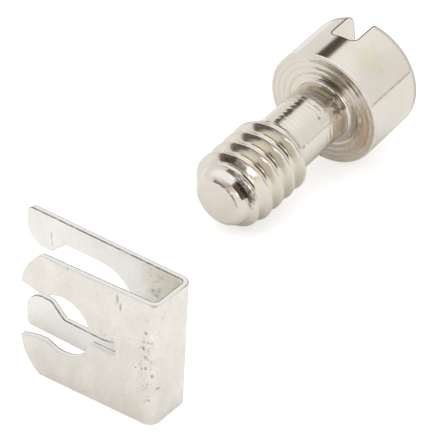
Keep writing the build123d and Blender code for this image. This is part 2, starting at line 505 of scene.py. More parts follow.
# %% Unroll the thread
def unrolled_places(tree):
    """For a point of the grid: its share of a turn, its height, and its distance from the crest."""
    spot = add_node(tree, "GeometryNodeInputPosition").outputs[0]
    flat = add_node(tree, "ShaderNodeSeparateXYZ", inputs={0: spot}).outputs
    turn = add_node(tree, MATH, {"operation": "ADD"}, {0: flat["X"], 1: 0.5}).outputs[0]
    row = add_node(tree, MATH, {"operation": "ADD"}, {0: flat["Y"], 1: 0.5}).outputs[0]
    rows = {0: row, 1: given["Span"], 2: given["First row"]}
    rise = add_node(tree, MATH, {"operation": "MULTIPLY_ADD"}, rows).outputs[0]
    shear = add_node(tree, MATH, {"operation": "MULTIPLY"}, {0: turn, 1: given["Pitch"]}).outputs[0]
    raw = add_node(tree, MATH, {"operation": "ADD"}, {0: rise, 1: shear}).outputs[0]
    limits = {"Value": raw, "Min": given["Low"], "Max": given["High"]}
    height = add_node(tree, "ShaderNodeClamp", inputs=limits).outputs[0]
    along = add_node(tree, MATH, {"operation": "SUBTRACT"}, {0: height, 1: shear}).outputs[0]
    offset = add_node(tree, MATH, {"operation": "SUBTRACT"}, {0: along, 1: given["Crest at"]}).outputs[0]
    half = add_node(tree, MATH, {"operation": "MULTIPLY"}, {0: given["Pitch"], 1: 0.5}).outputs[0]
    minus_half = add_node(tree, MATH, {"operation": "MULTIPLY"}, {0: half, 1: -1.0}).outputs[0]
    wrapped = add_node(tree, MATH, {"operation": "WRAP"}, {0: offset, 1: half, 2: minus_half}).outputs[0]
    from_crest = add_node(tree, MATH, {"operation": "ABSOLUTE"}, {0: wrapped}).outputs[0]
    return turn, height, from_crest


turn_share, thread_height, from_crest = unrolled_places(thread_tree)
print("thread tree nodes:", len(thread_tree.nodes))

# %% Shape the ridge
FLANK_ANGLE = math.radians(30)
# How softly, in mm, the flank of a rolled and plated thread runs into its crest and its root.
CREST_BLEND = 0.06
ROOT_BLEND = 0.24


def ridge_radius(tree, from_crest):
    """Radius of an endless thread: a straight flank between a soft crest and a soft root."""
    crest, core = given["Crest radius"], given["Core radius"]
    half_flat = add_node(tree, MATH, {"operation": "MULTIPLY"}, {0: given["Crest flat"], 1: 0.5}).outputs[0]
    down = add_node(tree, MATH, {"operation": "SUBTRACT"}, {0: from_crest, 1: half_flat}).outputs[0]
    drop = add_node(tree, MATH, {"operation": "DIVIDE"}, {0: down, 1: math.tan(FLANK_ANGLE)}).outputs[0]
    flank = add_node(tree, MATH, {"operation": "SUBTRACT"}, {0: crest, 1: drop}).outputs[0]
    top = add_node(tree, MATH, {"operation": "SMOOTH_MIN"}, {0: flank, 1: crest, 2: CREST_BLEND}).outputs[0]
    return add_node(tree, MATH, {"operation": "SMOOTH_MAX"}, {0: top, 1: core, 2: ROOT_BLEND}).outputs[0]


endless_ridge = ridge_radius(thread_tree, from_crest)
print("thread tree nodes:", len(thread_tree.nodes))

# %% Trim both ends
def trimmed_radius(tree, radius, height):
    """The ridge under two cones that rise from the core, one at each end of the thread."""
    crest, core = given["Crest radius"], given["Core radius"]
    depth = add_node(tree, MATH, {"operation": "SUBTRACT"}, {0: crest, 1: core}).outputs[0]
    for run, upper, lower in (("Run in", height, given["Low"]), ("Run out", given["High"], height)):
        slope = add_node(tree, MATH, {"operation": "DIVIDE"}, {0: depth, 1: given[run]}).outputs[0]
        past_end = add_node(tree, MATH, {"operation": "SUBTRACT"}, {0: upper, 1: lower}).outputs[0]
        rising = {0: past_end, 1: slope, 2: core}
        cone = add_node(tree, MATH, {"operation": "MULTIPLY_ADD"}, rising).outputs[0]
        radius = add_node(tree, MATH, {"operation": "MINIMUM"}, {0: radius, 1: cone}).outputs[0]
    return radius


thread_radius = trimmed_radius(thread_tree, endless_ridge, thread_height)
print("thread tree nodes:", len(thread_tree.nodes))

# %% Wrap it round the axis
# Points closer than this, in mm, become one.
WELD = 1e-4


def wrap_thread(tree, turn, height, radius):
    """Put every point of a square grid in its place round the axis, and close the seam."""
    squares = {"Size X": 1.0, "Size Y": 1.0, "Vertices X": given["Columns"], "Vertices Y": given["Rows"]}
    grid = add_node(tree, "GeometryNodeMeshGrid", inputs=squares).outputs["Mesh"]
    angle = add_node(tree, MATH, {"operation": "MULTIPLY"}, {0: turn, 1: 2 * math.pi}).outputs[0]
    cosine = add_node(tree, MATH, {"operation": "COSINE"}, {0: angle}).outputs[0]
    sine = add_node(tree, MATH, {"operation": "SINE"}, {0: angle}).outputs[0]
    x = add_node(tree, MATH, {"operation": "MULTIPLY"}, {0: radius, 1: cosine}).outputs[0]
    y = add_node(tree, MATH, {"operation": "MULTIPLY"}, {0: radius, 1: sine}).outputs[0]
    place = add_node(tree, "ShaderNodeCombineXYZ", inputs={"X": x, "Y": y, "Z": height}).outputs[0]
    moved = {"Geometry": grid, "Position": place}
    wound = add_node(tree, "GeometryNodeSetPosition", inputs=moved).outputs[0]
    welding = {"Geometry": wound, "Distance": WELD}
    closed = add_node(tree, "GeometryNodeMergeByDistance", inputs=welding).outputs[0]
    real = add_node(tree, "GeometryNodeRealizeInstances", inputs={"Geometry": closed}).outputs[0]
    coat = {"Geometry": real, "Material": given["Material"]}
    finished = add_node(tree, "GeometryNodeSetMaterial", inputs=coat).outputs[0]
    add_node(tree, "NodeGroupOutput", inputs={"Thread": finished})


wrap_thread(thread_tree, turn_share, thread_height, thread_radius)
print("thread tree nodes:", len(thread_tree.nodes))

# %% Wind the thread
# Rows of the grid in one pitch.
ROWS_PER_PITCH = 48


def wind_thread():
    """Run the tree on an empty mesh. Its rows start on a crest, so that a row follows the crest."""
    low = -SHANK + POINT_LENGTH
    high = -NECK_LENGTH
    crest_at = -CREST_MARK + PITCH / 4
    step = PITCH / ROWS_PER_PITCH
    first = crest_at + math.floor((low - PITCH - crest_at) / step) * step
    rows = math.ceil((high + PITCH - first) / step)
    values = {
        "Pitch": PITCH,
        "Core radius": NECK_R,
        "Crest radius": THREAD_R,
        "Crest flat": PITCH / 8,
        "Low": low,
        "High": high,
        "Run in": RUN_IN,
        "Run out": RUN_OUT,
        "First row": first,
        "Span": rows * step,
        "Crest at": crest_at,
        "Columns": AROUND + 1,
        "Rows": rows + 1,
    }
    carrier = mesh_object("thread", bpy.data.meshes.new("thread"))
    winding = carrier.modifiers.new("winding", "NODES")
    winding.node_group = thread_tree
    for socket in thread_tree.interface.items_tree:
        if socket.name in values:
            winding[socket.identifier] = values[socket.name]
    return applied(carrier), low, high


thread_mesh, thread_low, thread_high = wind_thread()
print("thread faces:", len(thread_mesh.polygons))

# %% Join thread and blank
# Points of the two rims that are this close, in mm, become one.
SEAM_WELD = 2e-4


def join_screw():
    """Swap the plain faces that the thread covers for the thread, and weld both rims."""
    work = bmesh.new()
    work.from_mesh(blank.data)
    covered = [
        face
        for face in work.faces
        if all(thread_low - WELD < v.co.z < thread_high + WELD for v in face.verts)
    ]
    bmesh.ops.delete(work, geom=covered, context="FACES")
    work.from_mesh(thread_mesh)
    bmesh.ops.remove_doubles(work, verts=work.verts, dist=SEAM_WELD)
    bmesh.ops.recalc_face_normals(work, faces=work.faces)
    open_edges = [edge for edge in work.edges if len(edge.link_faces) != 2]
    mesh = bpy.data.meshes.new("screw")
    work.to_mesh(mesh)
    work.free()
    return mesh, len(open_edges)


screw_mesh, open_edges = join_screw()
print("screw faces:", len(screw_mesh.polygons), "open edges:", open_edges)

# %% [markdown]
# ## Lying on the table
# The screw is laid down where the frame has it. Its own axes could be typed in, but the frame's mount on
# the head gives them. Each point first keeps its place in the lathe as an attribute, because the finish
# needs it. Last, the large faces set the shading: a small broken edge then stays a crisp line.

# %% Lay the screw down
# How far above the head's underside its mount stands, in mm.
MOUNT_HEIGHT = 1.2


def lying_place():
    """From the screw's own axes, with the head up, to the frame. The mount on the head gives the way."""
    axis = Vector(mounts["head"]["axis"]).normalized()
    side = axis.cross(Vector((0, 0, 1))).normalized()
    turn = Matrix((side, axis.cross(side), axis)).transposed().to_4x4()
    underside = Vector(mounts["head"]["pos_m"]) - MOUNT_HEIGHT * MM * axis
    return Matrix.Translation(underside) @ turn @ Matrix.Scale(MM, 4)


def store_lathe_place(mesh, place):
    """Keep each point's place in the lathe (x, y, height above the head's underside) for the finish."""
    mesh.attributes.new("lathe", "FLOAT_VECTOR", "POINT")
    mesh.attributes.new("around", "FLOAT_VECTOR", "POINT")
    turn = place.to_3x3().normalized()
    for k, vertex in enumerate(mesh.vertices):
        x, y, z = vertex.co
        around = turn @ Vector((-y, x, 0))
        mesh.attributes["lathe"].data[k].vector = (x, y, z)
        mesh.attributes["around"].data[k].vector = around.normalized() if around.length else (0, 0, 1)


store_lathe_place(screw_mesh, lying_place())
screw_mesh.transform(lying_place())
lows = [min(v.co[i] for v in screw_mesh.vertices) / MM for i in range(3)]
print("screw lowest corner (mm):", [round(v, 3) for v in lows])

# %% Even out its shading
# Edges up to this many degrees are shaded smooth. Above 50, the weight favours large faces.
SCREW_SMOOTH = 28
FACE_WEIGHT = 80


def even_normals(mesh):
    """Let large faces set the shading, so that small broken edges don't bend it over flat neighbours."""
    shade_by_angle(mesh, SCREW_SMOOTH)
    carrier = mesh_object("carrier", mesh)
    weighted = carrier.modifiers.new("normals", "WEIGHTED_NORMAL")
    weighted.mode = "FACE_AREA"
    weighted.weight = FACE_WEIGHT
    weighted.keep_sharp = True
    return applied(carrier)


screw = mesh_object("turned_screw", even_normals(screw_mesh))
bpy.data.objects.remove(blank)
print("screw faces:", len(screw.data.polygons))

# %% [markdown]
# ## The folded clip
# The clip starts as a flat stamping with round-ended hooks, and a press folds it into a U. A bent mesh
# could come from a Simple Deform modifier, but the two bends and the straight legs are easier to keep
# exact if each edge point of the stamping is placed twice, on the outside and on the inside of the
# sheet, along the folded path. The cut edge then closes the skin, and a small bevel breaks it.

# %% Outline helpers
def arc_through(start, middle, end, steps):
    """Circular arc through three points."""
    (ax, ay), (bx, by), (cx, cy) = start, middle, end
    d = 2 * (ax * (by - cy) + bx * (cy - ay) + cx * (ay - by))
    ux = ((ax**2 + ay**2) * (by - cy) + (bx**2 + by**2) * (cy - ay) + (cx**2 + cy**2) * (ay - by)) / d
    uy = ((ax**2 + ay**2) * (cx - bx) + (bx**2 + by**2) * (ax - cx) + (cx**2 + cy**2) * (bx - ax)) / d
    radius = math.hypot(ax - ux, ay - uy)
    a0 = math.atan2(ay - uy, ax - ux)
    a1 = math.atan2(cy - uy, cx - ux)
    sweep = (a1 - a0 + math.pi) % (2 * math.pi) - math.pi
    angles = [a0 + sweep * i / steps for i in range(steps + 1)]
    return [(ux + radius * math.cos(a), uy + radius * math.sin(a)) for a in angles]


def mirrored(upper):
    return [(x, -z) for x, z in reversed(upper)]


print("a mirrored point:", mirrored([(1, 2)]))

# %% Outline of the short leg
HALF = CLIP_HEIGHT / 2
# Steps round each arc.
SHOULDER_STEPS = 12
THROAT_STEPS = 8
KEYHOLE_STEPS = 28
SLIT_STEPS = 5


def short_leg_upper(side):
    """Half of the short leg's edge, from the bend to the blind end of the slit. Side is 1 above the
    middle of the leg and -1 below it, because the slit lies a little above the middle."""
    shoulder = arc_through(
        (-SHORT_LEG + SHOULDER_RUN, HALF),
        (-SHORT_LEG + SHOULDER_RUN / 2 - SHOULDER_BULGE, (HALF + TIP_RISE) / 2 + SHOULDER_BULGE),
        (-SHORT_LEG, TIP_RISE),
        SHOULDER_STEPS,
    )
    reach = KEYHOLE_R + THROAT_ROUND
    rounding_x = -KEYHOLE_REACH - math.sqrt(reach**2 - (THROAT + THROAT_ROUND) ** 2)
    meet = math.degrees(math.atan2(THROAT + THROAT_ROUND, rounding_x + KEYHOLE_REACH))
    rounding = arc((rounding_x, THROAT + THROAT_ROUND), THROAT_ROUND, 270, 180 + meet, THROAT_STEPS)
    slit = SLIT_HALF + side * SLIT_RISE
    corner_z = slit + SLIT_MOUTH_ROUND
    corner_x = -KEYHOLE_REACH + math.sqrt((KEYHOLE_R + SLIT_MOUTH_ROUND) ** 2 - corner_z**2)
    leave = math.degrees(math.atan2(corner_z, corner_x + KEYHOLE_REACH))
    keyhole = arc((-KEYHOLE_REACH, 0), KEYHOLE_R, meet, leave, KEYHOLE_STEPS)
    mouth = arc((corner_x, corner_z), SLIT_MOUTH_ROUND, 180 + leave, 270, SLIT_STEPS)
    blind = rounded([mouth[-1], (-SLIT_END, slit), (-SLIT_END, slit - 2 * SLIT_ROUND)], [0, SLIT_ROUND, 0])
    edge = [(-BEND_OUT, HALF)] + shoulder
    edge += [(-SHORT_LEG, TIP_RISE - TIP_ROUND), (-THROAT_START, THROAT)]
    edge += rounding + keyhole[1:-1] + mouth + blind[1:-1]
    return edge if side > 0 else mirrored(edge)


short_edge = short_leg_upper(1) + short_leg_upper(-1)
print("points round the short leg:", len(short_edge))

# %% Outline of the long leg
# The bend takes this much of the web and of the leg, counted from the corner where they would meet.
FAR_TANGENT = BEND_OUT * math.tan((math.pi / 2 - SPLAY) / 2)
POCKET_STEPS = 24


def long_leg_upper():
    """Upper half of the long leg's edge, from the bend at the top to the end of the pocket."""
    arm = rounded(
        [
            (-FAR_TANGENT, HALF),
            (-LONG_LEG, HALF),
            (-LONG_LEG, MOUTH),
            (-MOUTH_START, MOUTH),
            (-POCKET_REACH - POCKET_LENGTH, POCKET_R),
            (-POCKET_REACH, POCKET_R),
        ],
        [0, ARM_OUTER_R, ARM_INNER_R, SLOPE_ROUND, SLOPE_ROUND, 0],
    )
    pocket = arc((-POCKET_REACH, 0), POCKET_R, 90, 0, POCKET_STEPS)
    return arm + pocket[1:-1]


long_edge = long_leg_upper() + [(-POCKET_REACH + POCKET_R, 0)] + mirrored(long_leg_upper())
print("points round the long leg:", len(long_edge))

# %% Bend the strip
# Steps round each bend.
BEND_STEPS = 14


def bend_top(centre, start, end):
    """Edge points across one bend: outside and inside of the sheet, seen from above."""
    outer = arc(centre, BEND_OUT, start, end, BEND_STEPS)
    inner = arc(centre, BEND_OUT - SHEET, start, end, BEND_STEPS)
    return list(zip(outer, inner))


front_bend = bend_top((-BEND_OUT, BEND_OUT), -90, 0)
back_bend = bend_top((-BEND_OUT, CLIP_GAP - FAR_TANGENT), 0, 90 - math.degrees(SPLAY))
print("points across both bends:", len(front_bend + back_bend))

# %% Fold the stamping
# Kinds of face, kept as material slots until the finish needs them.
SHEET_FACE = 0
CUT = 1
BROKEN = 2


def outline_points(work):
    """Pairs of points, outside and inside, round both legs and along the top and bottom of the fold."""
    cos_s = math.cos(SPLAY)
    sin_s = math.sin(SPLAY)
    across = front_bend + back_bend

    def pair(outer, inner, z):
        return work.verts.new((*outer, z + HALF)), work.verts.new((*inner, z + HALF))

    top = [pair(outer, inner, HALF) for outer, inner in across]
    bottom = [pair(outer, inner, -HALF) for outer, inner in across]
    short = [pair((x, 0), (x, SHEET), z) for x, z in short_edge[1:-1]]
    long = []
    for x, z in long_edge[1:-1]:
        outer = (x * cos_s, CLIP_GAP - x * sin_s)
        inner = (outer[0] - SHEET * sin_s, outer[1] - SHEET * cos_s)
        long.append(pair(outer, inner, z))
    return [top[0]] + short + [bottom[0]], [top[-1]] + long + [bottom[-1]], top, bottom


def folded_clip():
    """Clip skin in mm: the outside corner of the fold is on the origin, and the clip stands on z = 0."""
    work = bmesh.new()
    short_loop, long_loop, top, bottom = outline_points(work)
    for side in (0, 1):
        work.faces.new([p[side] for p in short_loop])
        work.faces.new([p[side] for p in long_loop])
        for upper, lower, next_upper, next_lower in zip(top, bottom, top[1:], bottom[1:]):
            work.faces.new((upper[side], lower[side], next_lower[side], next_upper[side]))
    rim = short_loop + bottom[1:] + list(reversed(long_loop))[1:] + list(reversed(top))[1:]
    for here, there in zip(rim, rim[1:]):
        cut = work.faces.new((here[0], there[0], there[1], here[1]))
        cut.material_index = CUT
    bmesh.ops.recalc_face_normals(work, faces=work.faces)
    open_edges = sum(len(edge.link_faces) != 2 for edge in work.edges)
    mesh = bpy.data.meshes.new("clip")
    work.to_mesh(mesh)
    work.free()
    return mesh, open_edges


clip_mesh, open_edges = folded_clip()
print("clip faces:", len(clip_mesh.polygons), "open edges:", open_edges)

# %% Break the cut edges
# Degrees up to which an edge is shaded smooth, and above which it is broken.
SHEET_SMOOTH = 30
CUT_SHARP = 50
BREAK_STEPS = 2


def broken_edges(mesh):
    """A small bevel on every sharp edge, with flat faces that stay flat."""
    carrier = mesh_object("clip", mesh)
    for _ in (SHEET_FACE, CUT, BROKEN):
        mesh.materials.append(None)
    shade_by_angle(mesh, SHEET_SMOOTH)
    bevel = carrier.modifiers.new("edges", "BEVEL")
    bevel.width = EDGE_BREAK
    bevel.segments = BREAK_STEPS
    bevel.limit_method = "ANGLE"
    bevel.angle_limit = math.radians(CUT_SHARP)
    bevel.harden_normals = True
    bevel.material = BROKEN
    return applied(carrier)


clip_mesh = broken_edges(clip_mesh)
print("clip faces with broken edges:", len(clip_mesh.polygons))

# %% Mark its faces
def sheet_depth(point):
    """0 on the outer skin of the U and 1 on the inner one. The point is in the clip's own mm."""
    bend_y = CLIP_GAP - FAR_TANGENT
    past_bend = point.x > -BEND_OUT
    if past_bend and point.y < BEND_OUT:
        below = BEND_OUT - math.hypot(point.x + BEND_OUT, point.y - BEND_OUT)
    elif past_bend and point.y > bend_y:
        below = BEND_OUT - math.hypot(point.x + BEND_OUT, point.y - bend_y)
    else:
        from_far_leg = math.cos(SPLAY) * (point.y - CLIP_GAP) + math.sin(SPLAY) * point.x
        below = min(point.y, -point.x, -from_far_leg)
    return max(0.0, min(1.0, below / SHEET))


def mark_faces(mesh):
    """Turn the kinds of face into attributes for the finish, then put every face on the first slot and empty
    the slots.
    """
    kinds = [face.material_index for face in mesh.polygons]
    for name, kind in (("cut", CUT), ("broken", BROKEN)):
        layer = mesh.attributes.new(name, "FLOAT", "FACE")
        layer.data.foreach_set("value", [float(found == kind) for found in kinds])
    depth = mesh.attributes.new("depth", "FLOAT", "POINT")
    depth.data.foreach_set("value", [sheet_depth(vertex.co) for vertex in mesh.vertices])
    mesh.polygons.foreach_set("material_index", [0] * len(kinds))
    mesh.materials.clear()
    return [kinds.count(kind) for kind in (SHEET_FACE, CUT, BROKEN)]


print("sheet, cut and broken-edge faces:", mark_faces(clip_mesh))

# %% Stand it in its place
clip_low, clip_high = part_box("retaining_clip")
clip_mesh.transform(Matrix.Translation((clip_high.x, clip_low.y, 0)) @ Matrix.Scale(MM, 4))
clip = mesh_object("folded_clip", clip_mesh)
print("clip corner (mm):", [round(v / MM, 3) for v in (clip_high.x, clip_low.y)])

# %% [markdown]
# ## Bright nickel plate
# The screw is turned from bar, threaded, and plated with bright nickel, which is a warm grey mirror. A lathe
# leaves fine grooves round the axis, so the plate smears its reflections across the grooves: that is the
# anisotropy. The tool's feed leaves coarser rings on the neck. Down in the thread the plate is painted
# yellower in patches, a painted reflection of the gold that light gathers between the flanks. A painted image
# could hold all this, but a finish that asks where each point was in the lathe follows the axis wherever the
# screw lies. It is put together in steps, and each step adds nodes to one tree.

# %% Place in the lathe
def new_material(name):
    made = bpy.data.materials.new(name)
    made.use_nodes = True
    made.node_tree.nodes.clear()
    return made, made.node_tree


def lathe_place(tree):
    """Where a point is in the lathe. Polar is (radius in mm, degrees round the axis, height in mm)."""
    point = add_node(tree, "ShaderNodeAttribute", {"attribute_name": "lathe"}).outputs["Vector"]
    around = add_node(tree, "ShaderNodeAttribute", {"attribute_name": "around"}).outputs["Vector"]
    x, y, along = add_node(tree, "ShaderNodeSeparateXYZ", inputs={0: point}).outputs
    flat = add_node(tree, "ShaderNodeCombineXYZ", inputs={0: x, 1: y}).outputs[0]
    radius = add_node(tree, VECTOR_MATH, {"operation": "LENGTH"}, {0: flat}).outputs["Value"]
    angle = add_node(tree, MATH, {"operation": "ARCTAN2"}, {0: y, 1: x}).outputs[0]
    degrees = add_node(tree, MATH, {"operation": "DEGREES"}, {0: angle}).outputs[0]
    polar = add_node(tree, "ShaderNodeCombineXYZ", inputs={0: radius, 1: degrees, 2: along}).outputs[0]
    return {"point": point, "around": around, "flat": flat, "radius": radius, "along": along, "polar": polar}


plate, plate_tree = new_material("bright nickel plate")
lathe = lathe_place(plate_tree)
print("known of each point:", ", ".join(lathe))

# %% Regions of the screw
# Each stretch along the axis is (middle, half length) in mm.
NECK_STRETCH = (-NECK_LENGTH / 2, NECK_LENGTH / 2 - 0.03)
THREAD_STRETCH = (-4.0, 1.2)
UNDERSIDE_STRETCH = (0.04, 0.08)
# Radii between which the painted yellow reflection in a root ends, and the faced ring ends at the rim.
ROOT_ENDS = (NECK_R + 0.02, NECK_R + 0.20)
FACE_ENDS = (HEAD_R - 0.06, HEAD_R - 0.03)
FALLING = (1.0, 0.0)


def screw_regions(tree):
    """Masks for the neck, the roots of the thread, the face under the head and the whole shank."""
    masks = {}
    stretches = {"neck": NECK_STRETCH, "thread": THREAD_STRETCH, "underside": UNDERSIDE_STRETCH}
    for name, (middle, half) in stretches.items():
        within = {0: lathe["along"], 1: middle, 2: half}
        masks[name] = add_node(tree, MATH, {"operation": "COMPARE"}, within).outputs[0]
    for name, stretch, border in (("root", "thread", ROOT_ENDS), ("faced", "underside", FACE_ENDS)):
        fall = {"Value": lathe["radius"], **from_band(border), **to_band(FALLING)}
        low = add_node(tree, RANGE, inputs=fall).outputs[0]
        masks[name] = add_node(tree, MATH, {"operation": "MULTIPLY"}, {0: low, 1: masks[stretch]}).outputs[0]
    below = {0: lathe["along"], 1: -NECK_FILLET}
    masks["shank"] = add_node(tree, MATH, {"operation": "LESS_THAN"}, below).outputs[0]
    return masks


region = screw_regions(plate_tree)
print("regions of the screw:", ", ".join(region))

# %% Unevenness of the plate
# Size in mm, detail and roughness of each pattern. The bath leaves broad clouds, the feed of the tool wanders
# and bites unevenly, and the pickle before plating leaves a mottle. The real mottle would be too fine to
# show, so it is drawn coarser.
PLATE_PATTERNS = {
    "cloud": (0.714, 3.0, 0.6),
    "wander": (0.588, 3.0, 0.5),
    "bite": (0.3226, 1.0, 0.5),
    "mottle": (0.1111, 3.0, 0.55),
}


def plate_patterns(tree):
    made = {}
    for name, (size, detail, roughness) in PLATE_PATTERNS.items():
        values = {"Vector": lathe["point"], "Scale": 1 / size, "Detail": detail, "Roughness": roughness}
        made[name] = add_node(tree, NOISE, inputs=values).outputs[0]
    return made


pattern = plate_patterns(plate_tree)
print("patterns in the plate:", ", ".join(pattern))

# %% Rings of the feed
# Pitch, half depth and the heights between which the rings fade out, in mm. The rings wander by this many
# radians and bite with these strengths, where the noise is in its middle band.
FEED_PITCH = 0.21
FEED_HALF_DEPTH = 0.00225
FEED_WANDER = 8.0
FEED_FADE = (-1.2, -0.5)
FEED_BITE = (0.1, 1.5)
BITE_BAND = (0.35, 0.65)
MOTTLE_DEPTH = 0.0014


def plate_height(tree):
    """Height of the surface in mm: the tool's rings on the neck, which fade towards the head, and mottle."""
    shift = {0: pattern["wander"], 1: FEED_WANDER}
    wander = add_node(tree, MATH, {"operation": "MULTIPLY"}, shift).outputs[0]
    turned = {0: lathe["along"], 1: 2 * math.pi / FEED_PITCH, 2: wander}
    phase = add_node(tree, MATH, {"operation": "MULTIPLY_ADD"}, turned).outputs[0]
    wave = add_node(tree, MATH, {"operation": "SINE"}, {0: phase}).outputs[0]
    bites = {"Value": pattern["bite"], **from_band(BITE_BAND), **to_band(FEED_BITE)}
    bite = add_node(tree, RANGE, inputs=bites).outputs[0]
    fading = {"Value": lathe["along"], **from_band(FEED_FADE), **to_band((FEED_HALF_DEPTH, 0.0))}
    fade = add_node(tree, RANGE, inputs=fading).outputs[0]
    uneven = add_node(tree, MATH, {"operation": "MULTIPLY"}, {0: wave, 1: bite}).outputs[0]
    on_neck = add_node(tree, MATH, {"operation": "MULTIPLY"}, {0: uneven, 1: region["neck"]}).outputs[0]
    rings = add_node(tree, MATH, {"operation": "MULTIPLY"}, {0: on_neck, 1: fade}).outputs[0]
    both = {0: pattern["mottle"], 1: MOTTLE_DEPTH, 2: rings}
    return add_node(tree, MATH, {"operation": "MULTIPLY_ADD"}, both).outputs[0]


plate_relief = plate_height(plate_tree)
print("rings on the neck:", round(NECK_LENGTH / FEED_PITCH))

# %% Colour of the plate
# Band of the noise in which the painted yellow reflection in the thread's root fades in.
ROOT_PATCHES = (0.42, 0.60)


def plate_colour(tree):
    """Warm grey, paler in clouds, and painted yellower in patches down in the thread's root: a painted
    reflection of the gold bounced between its flanks.
    """
    greys = {"Factor": pattern["cloud"], FROM: linear("#D9D2C7"), TO: linear("#E6E0D6")}
    grey = add_node(tree, MIX, IN_COLOUR, greys).outputs[MIXED]
    patches = {"Value": pattern["wander"], **from_band(ROOT_PATCHES)}
    patchy = add_node(tree, RANGE, inputs=patches).outputs[0]
    tint = add_node(tree, MATH, {"operation": "MULTIPLY"}, {0: region["root"], 1: patchy}).outputs[0]
    yellow = {"Factor": tint, FROM: grey, TO: linear("#E8E0C4")}
    return add_node(tree, MIX, IN_COLOUR, yellow).outputs[MIXED]


clean_plate = plate_colour(plate_tree)
print("plate nodes so far:", len(plate_tree.nodes))

# %% [markdown]
# ## Painted reflections and marks on the screw
# Most marks here are painted reflections. Dark streaks under the head, a grey smudge, a gold band and a dark
# patch on the neck, and a black patch and dark bands at the point stand in for the dark panels of the room. A
# tan patch under the head stands in for the shaded table mirrored there. Two nicks on the neck and a pale
# stain on the head are the part's own. They could be painted on an unwrapped image. Here each mark is a
# little ellipsoid in space instead: where it cuts the surface, the colour changes, and a noise frays its
# border. On the screw its middle and half sizes are a radius, an angle and a height, so that a mark bends
# round the axis.

# %% Ways to paint a mark
# A mark's border fades out between these distances from its middle, counted in half sizes. A ragged value
# is added to the distance first, and this is its usual size.
MARK_BORDER = (1.0, 1.8)
USUAL_RAGGED = 0.5


def mark_mask(tree, point, middle, half_sizes, ragged):
    """1 inside an ellipsoid, 0 outside it. The ragged value moves its border to and fro."""
    away = add_node(tree, VECTOR_MATH, {"operation": "SUBTRACT"}, {0: point, 1: Vector(middle)}).outputs[0]
    shares = {0: away, 1: Vector(half_sizes)}
    scaled = add_node(tree, VECTOR_MATH, {"operation": "DIVIDE"}, shares).outputs[0]
    far = add_node(tree, VECTOR_MATH, {"operation": "LENGTH"}, {0: scaled}).outputs["Value"]
    moved = add_node(tree, MATH, {"operation": "ADD"}, {0: far, 1: ragged}).outputs[0]
    border = {"Value": moved, **from_band(MARK_BORDER), **to_band(FALLING)}
    return add_node(tree, RANGE, SMOOTHLY, border).outputs[0]


def paint_marks(tree, colour, point, marks, ragged, share=1.0):
    """Paint marks over a colour: (middle, half sizes, colour, strength). The share breaks them up."""
    for middle, half_sizes, shade, strength in marks:
        mask = mark_mask(tree, point, middle, half_sizes, ragged)
        weak = add_node(tree, MATH, {"operation": "MULTIPLY"}, {0: mask, 1: strength}).outputs[0]
        part = add_node(tree, MATH, {"operation": "MULTIPLY"}, {0: weak, 1: share}).outputs[0]
        over = {"Factor": part, FROM: colour, TO: linear(shade)}
        colour = add_node(tree, MIX, IN_COLOUR, over).outputs[MIXED]
    return colour


print("a mark fades out at", MARK_BORDER[1] - USUAL_RAGGED, "of its half sizes")

# %% Painted reflections and marks
# Middle and half sizes (radius in mm, degrees round the axis, height in mm), colour and strength.
SCREW_MARKS = (
    # Painted reflections under the head: dark streaks of the room in the rings, and a tan patch of the shaded
    # table beyond the neck.
    ((1.25, -70, 0.00), (0.15, 24, 0.20), "#5A4F49", 0.7),
    ((1.62, -74, 0.00), (0.10, 24, 0.20), "#8A7D74", 0.6),
    ((1.93, -75, 0.00), (0.10, 26, 0.20), "#75695F", 0.6),
    ((1.74, 12, 0.00), (0.28, 34, 0.20), "#C8AF90", 0.8),
    ((1.34, 6, 0.00), (0.18, 34, 0.20), "#8F7E6E", 0.6),
    # Painted reflections on the neck: a grey smudge, a gold band and a dark patch near the head. Then two
    # nicks.
    ((NECK_R, -78, -0.60), (0.20, 44, 0.34), "#ADA394", 0.5),
    ((NECK_R, -70, -0.28), (0.20, 24, 0.12), "#D3C79E", 0.7),
    ((NECK_R, -39, -0.38), (0.20, 17, 0.18), "#5A504A", 0.65),
    ((NECK_R, -45, -1.32), (0.20, 2.5, 0.07), "#8E847A", 0.7),
    ((NECK_R, -24, -2.50), (0.20, 3.5, 0.05), "#8E847A", 0.7),
    # A pale stain on the side of the head.
    ((HEAD_R, -58, 1.10), (0.30, 15, 0.55), "#D6D2B8", 0.6),
    # Painted reflections of the dark room at the point: a dark line on its edge, the black patch beside it
    # and a dark band on the first crest.
    ((POINT_R + 0.01, -44, -5.98), (0.035, 34, 0.06), "#5E534C", 0.85),
    ((1.11, -31, -5.60), (0.16, 28, 0.14), "#443A34", 0.9),
    ((1.26, -78, -5.20), (0.14, 30, 0.10), "#6E625A", 0.6),
)
# Size of the streaks' noise: (mm in radius, degrees round the axis, mm in height). Its middle band is
# stretched until it moves a border by as much as the second band says.
STREAK_SIZE = (0.0714, 10, 0.1111)
STREAK_BAND = (0.3, 0.7)
RAGGED_BAND = (-0.1, 1.1)


def soiled(tree, colour):
    """The plate with its painted reflections and marks. Their borders are streaky, but mottled on the neck.
    """
    drawn_out = {0: lathe["polar"], 1: Vector(STREAK_SIZE)}
    stretched = add_node(tree, VECTOR_MATH, {"operation": "DIVIDE"}, drawn_out).outputs[0]
    fine = {"Vector": stretched, "Scale": 1.0, "Detail": 4.0, "Roughness": 0.7}
    streaks = add_node(tree, NOISE, inputs=fine).outputs[0]
    kinds = {"Factor": region["neck"], "A": streaks, "B": pattern["mottle"]}
    blotches = add_node(tree, MIX, inputs=kinds).outputs[0]
    spread = {"Value": blotches, **from_band(STREAK_BAND), **to_band(RAGGED_BAND)}
    ragged = add_node(tree, RANGE, inputs=spread).outputs[0]
    return paint_marks(tree, colour, lathe["polar"], SCREW_MARKS, ragged)


soiled_plate = soiled(plate_tree, clean_plate)
print("marks on the screw:", len(SCREW_MARKS))
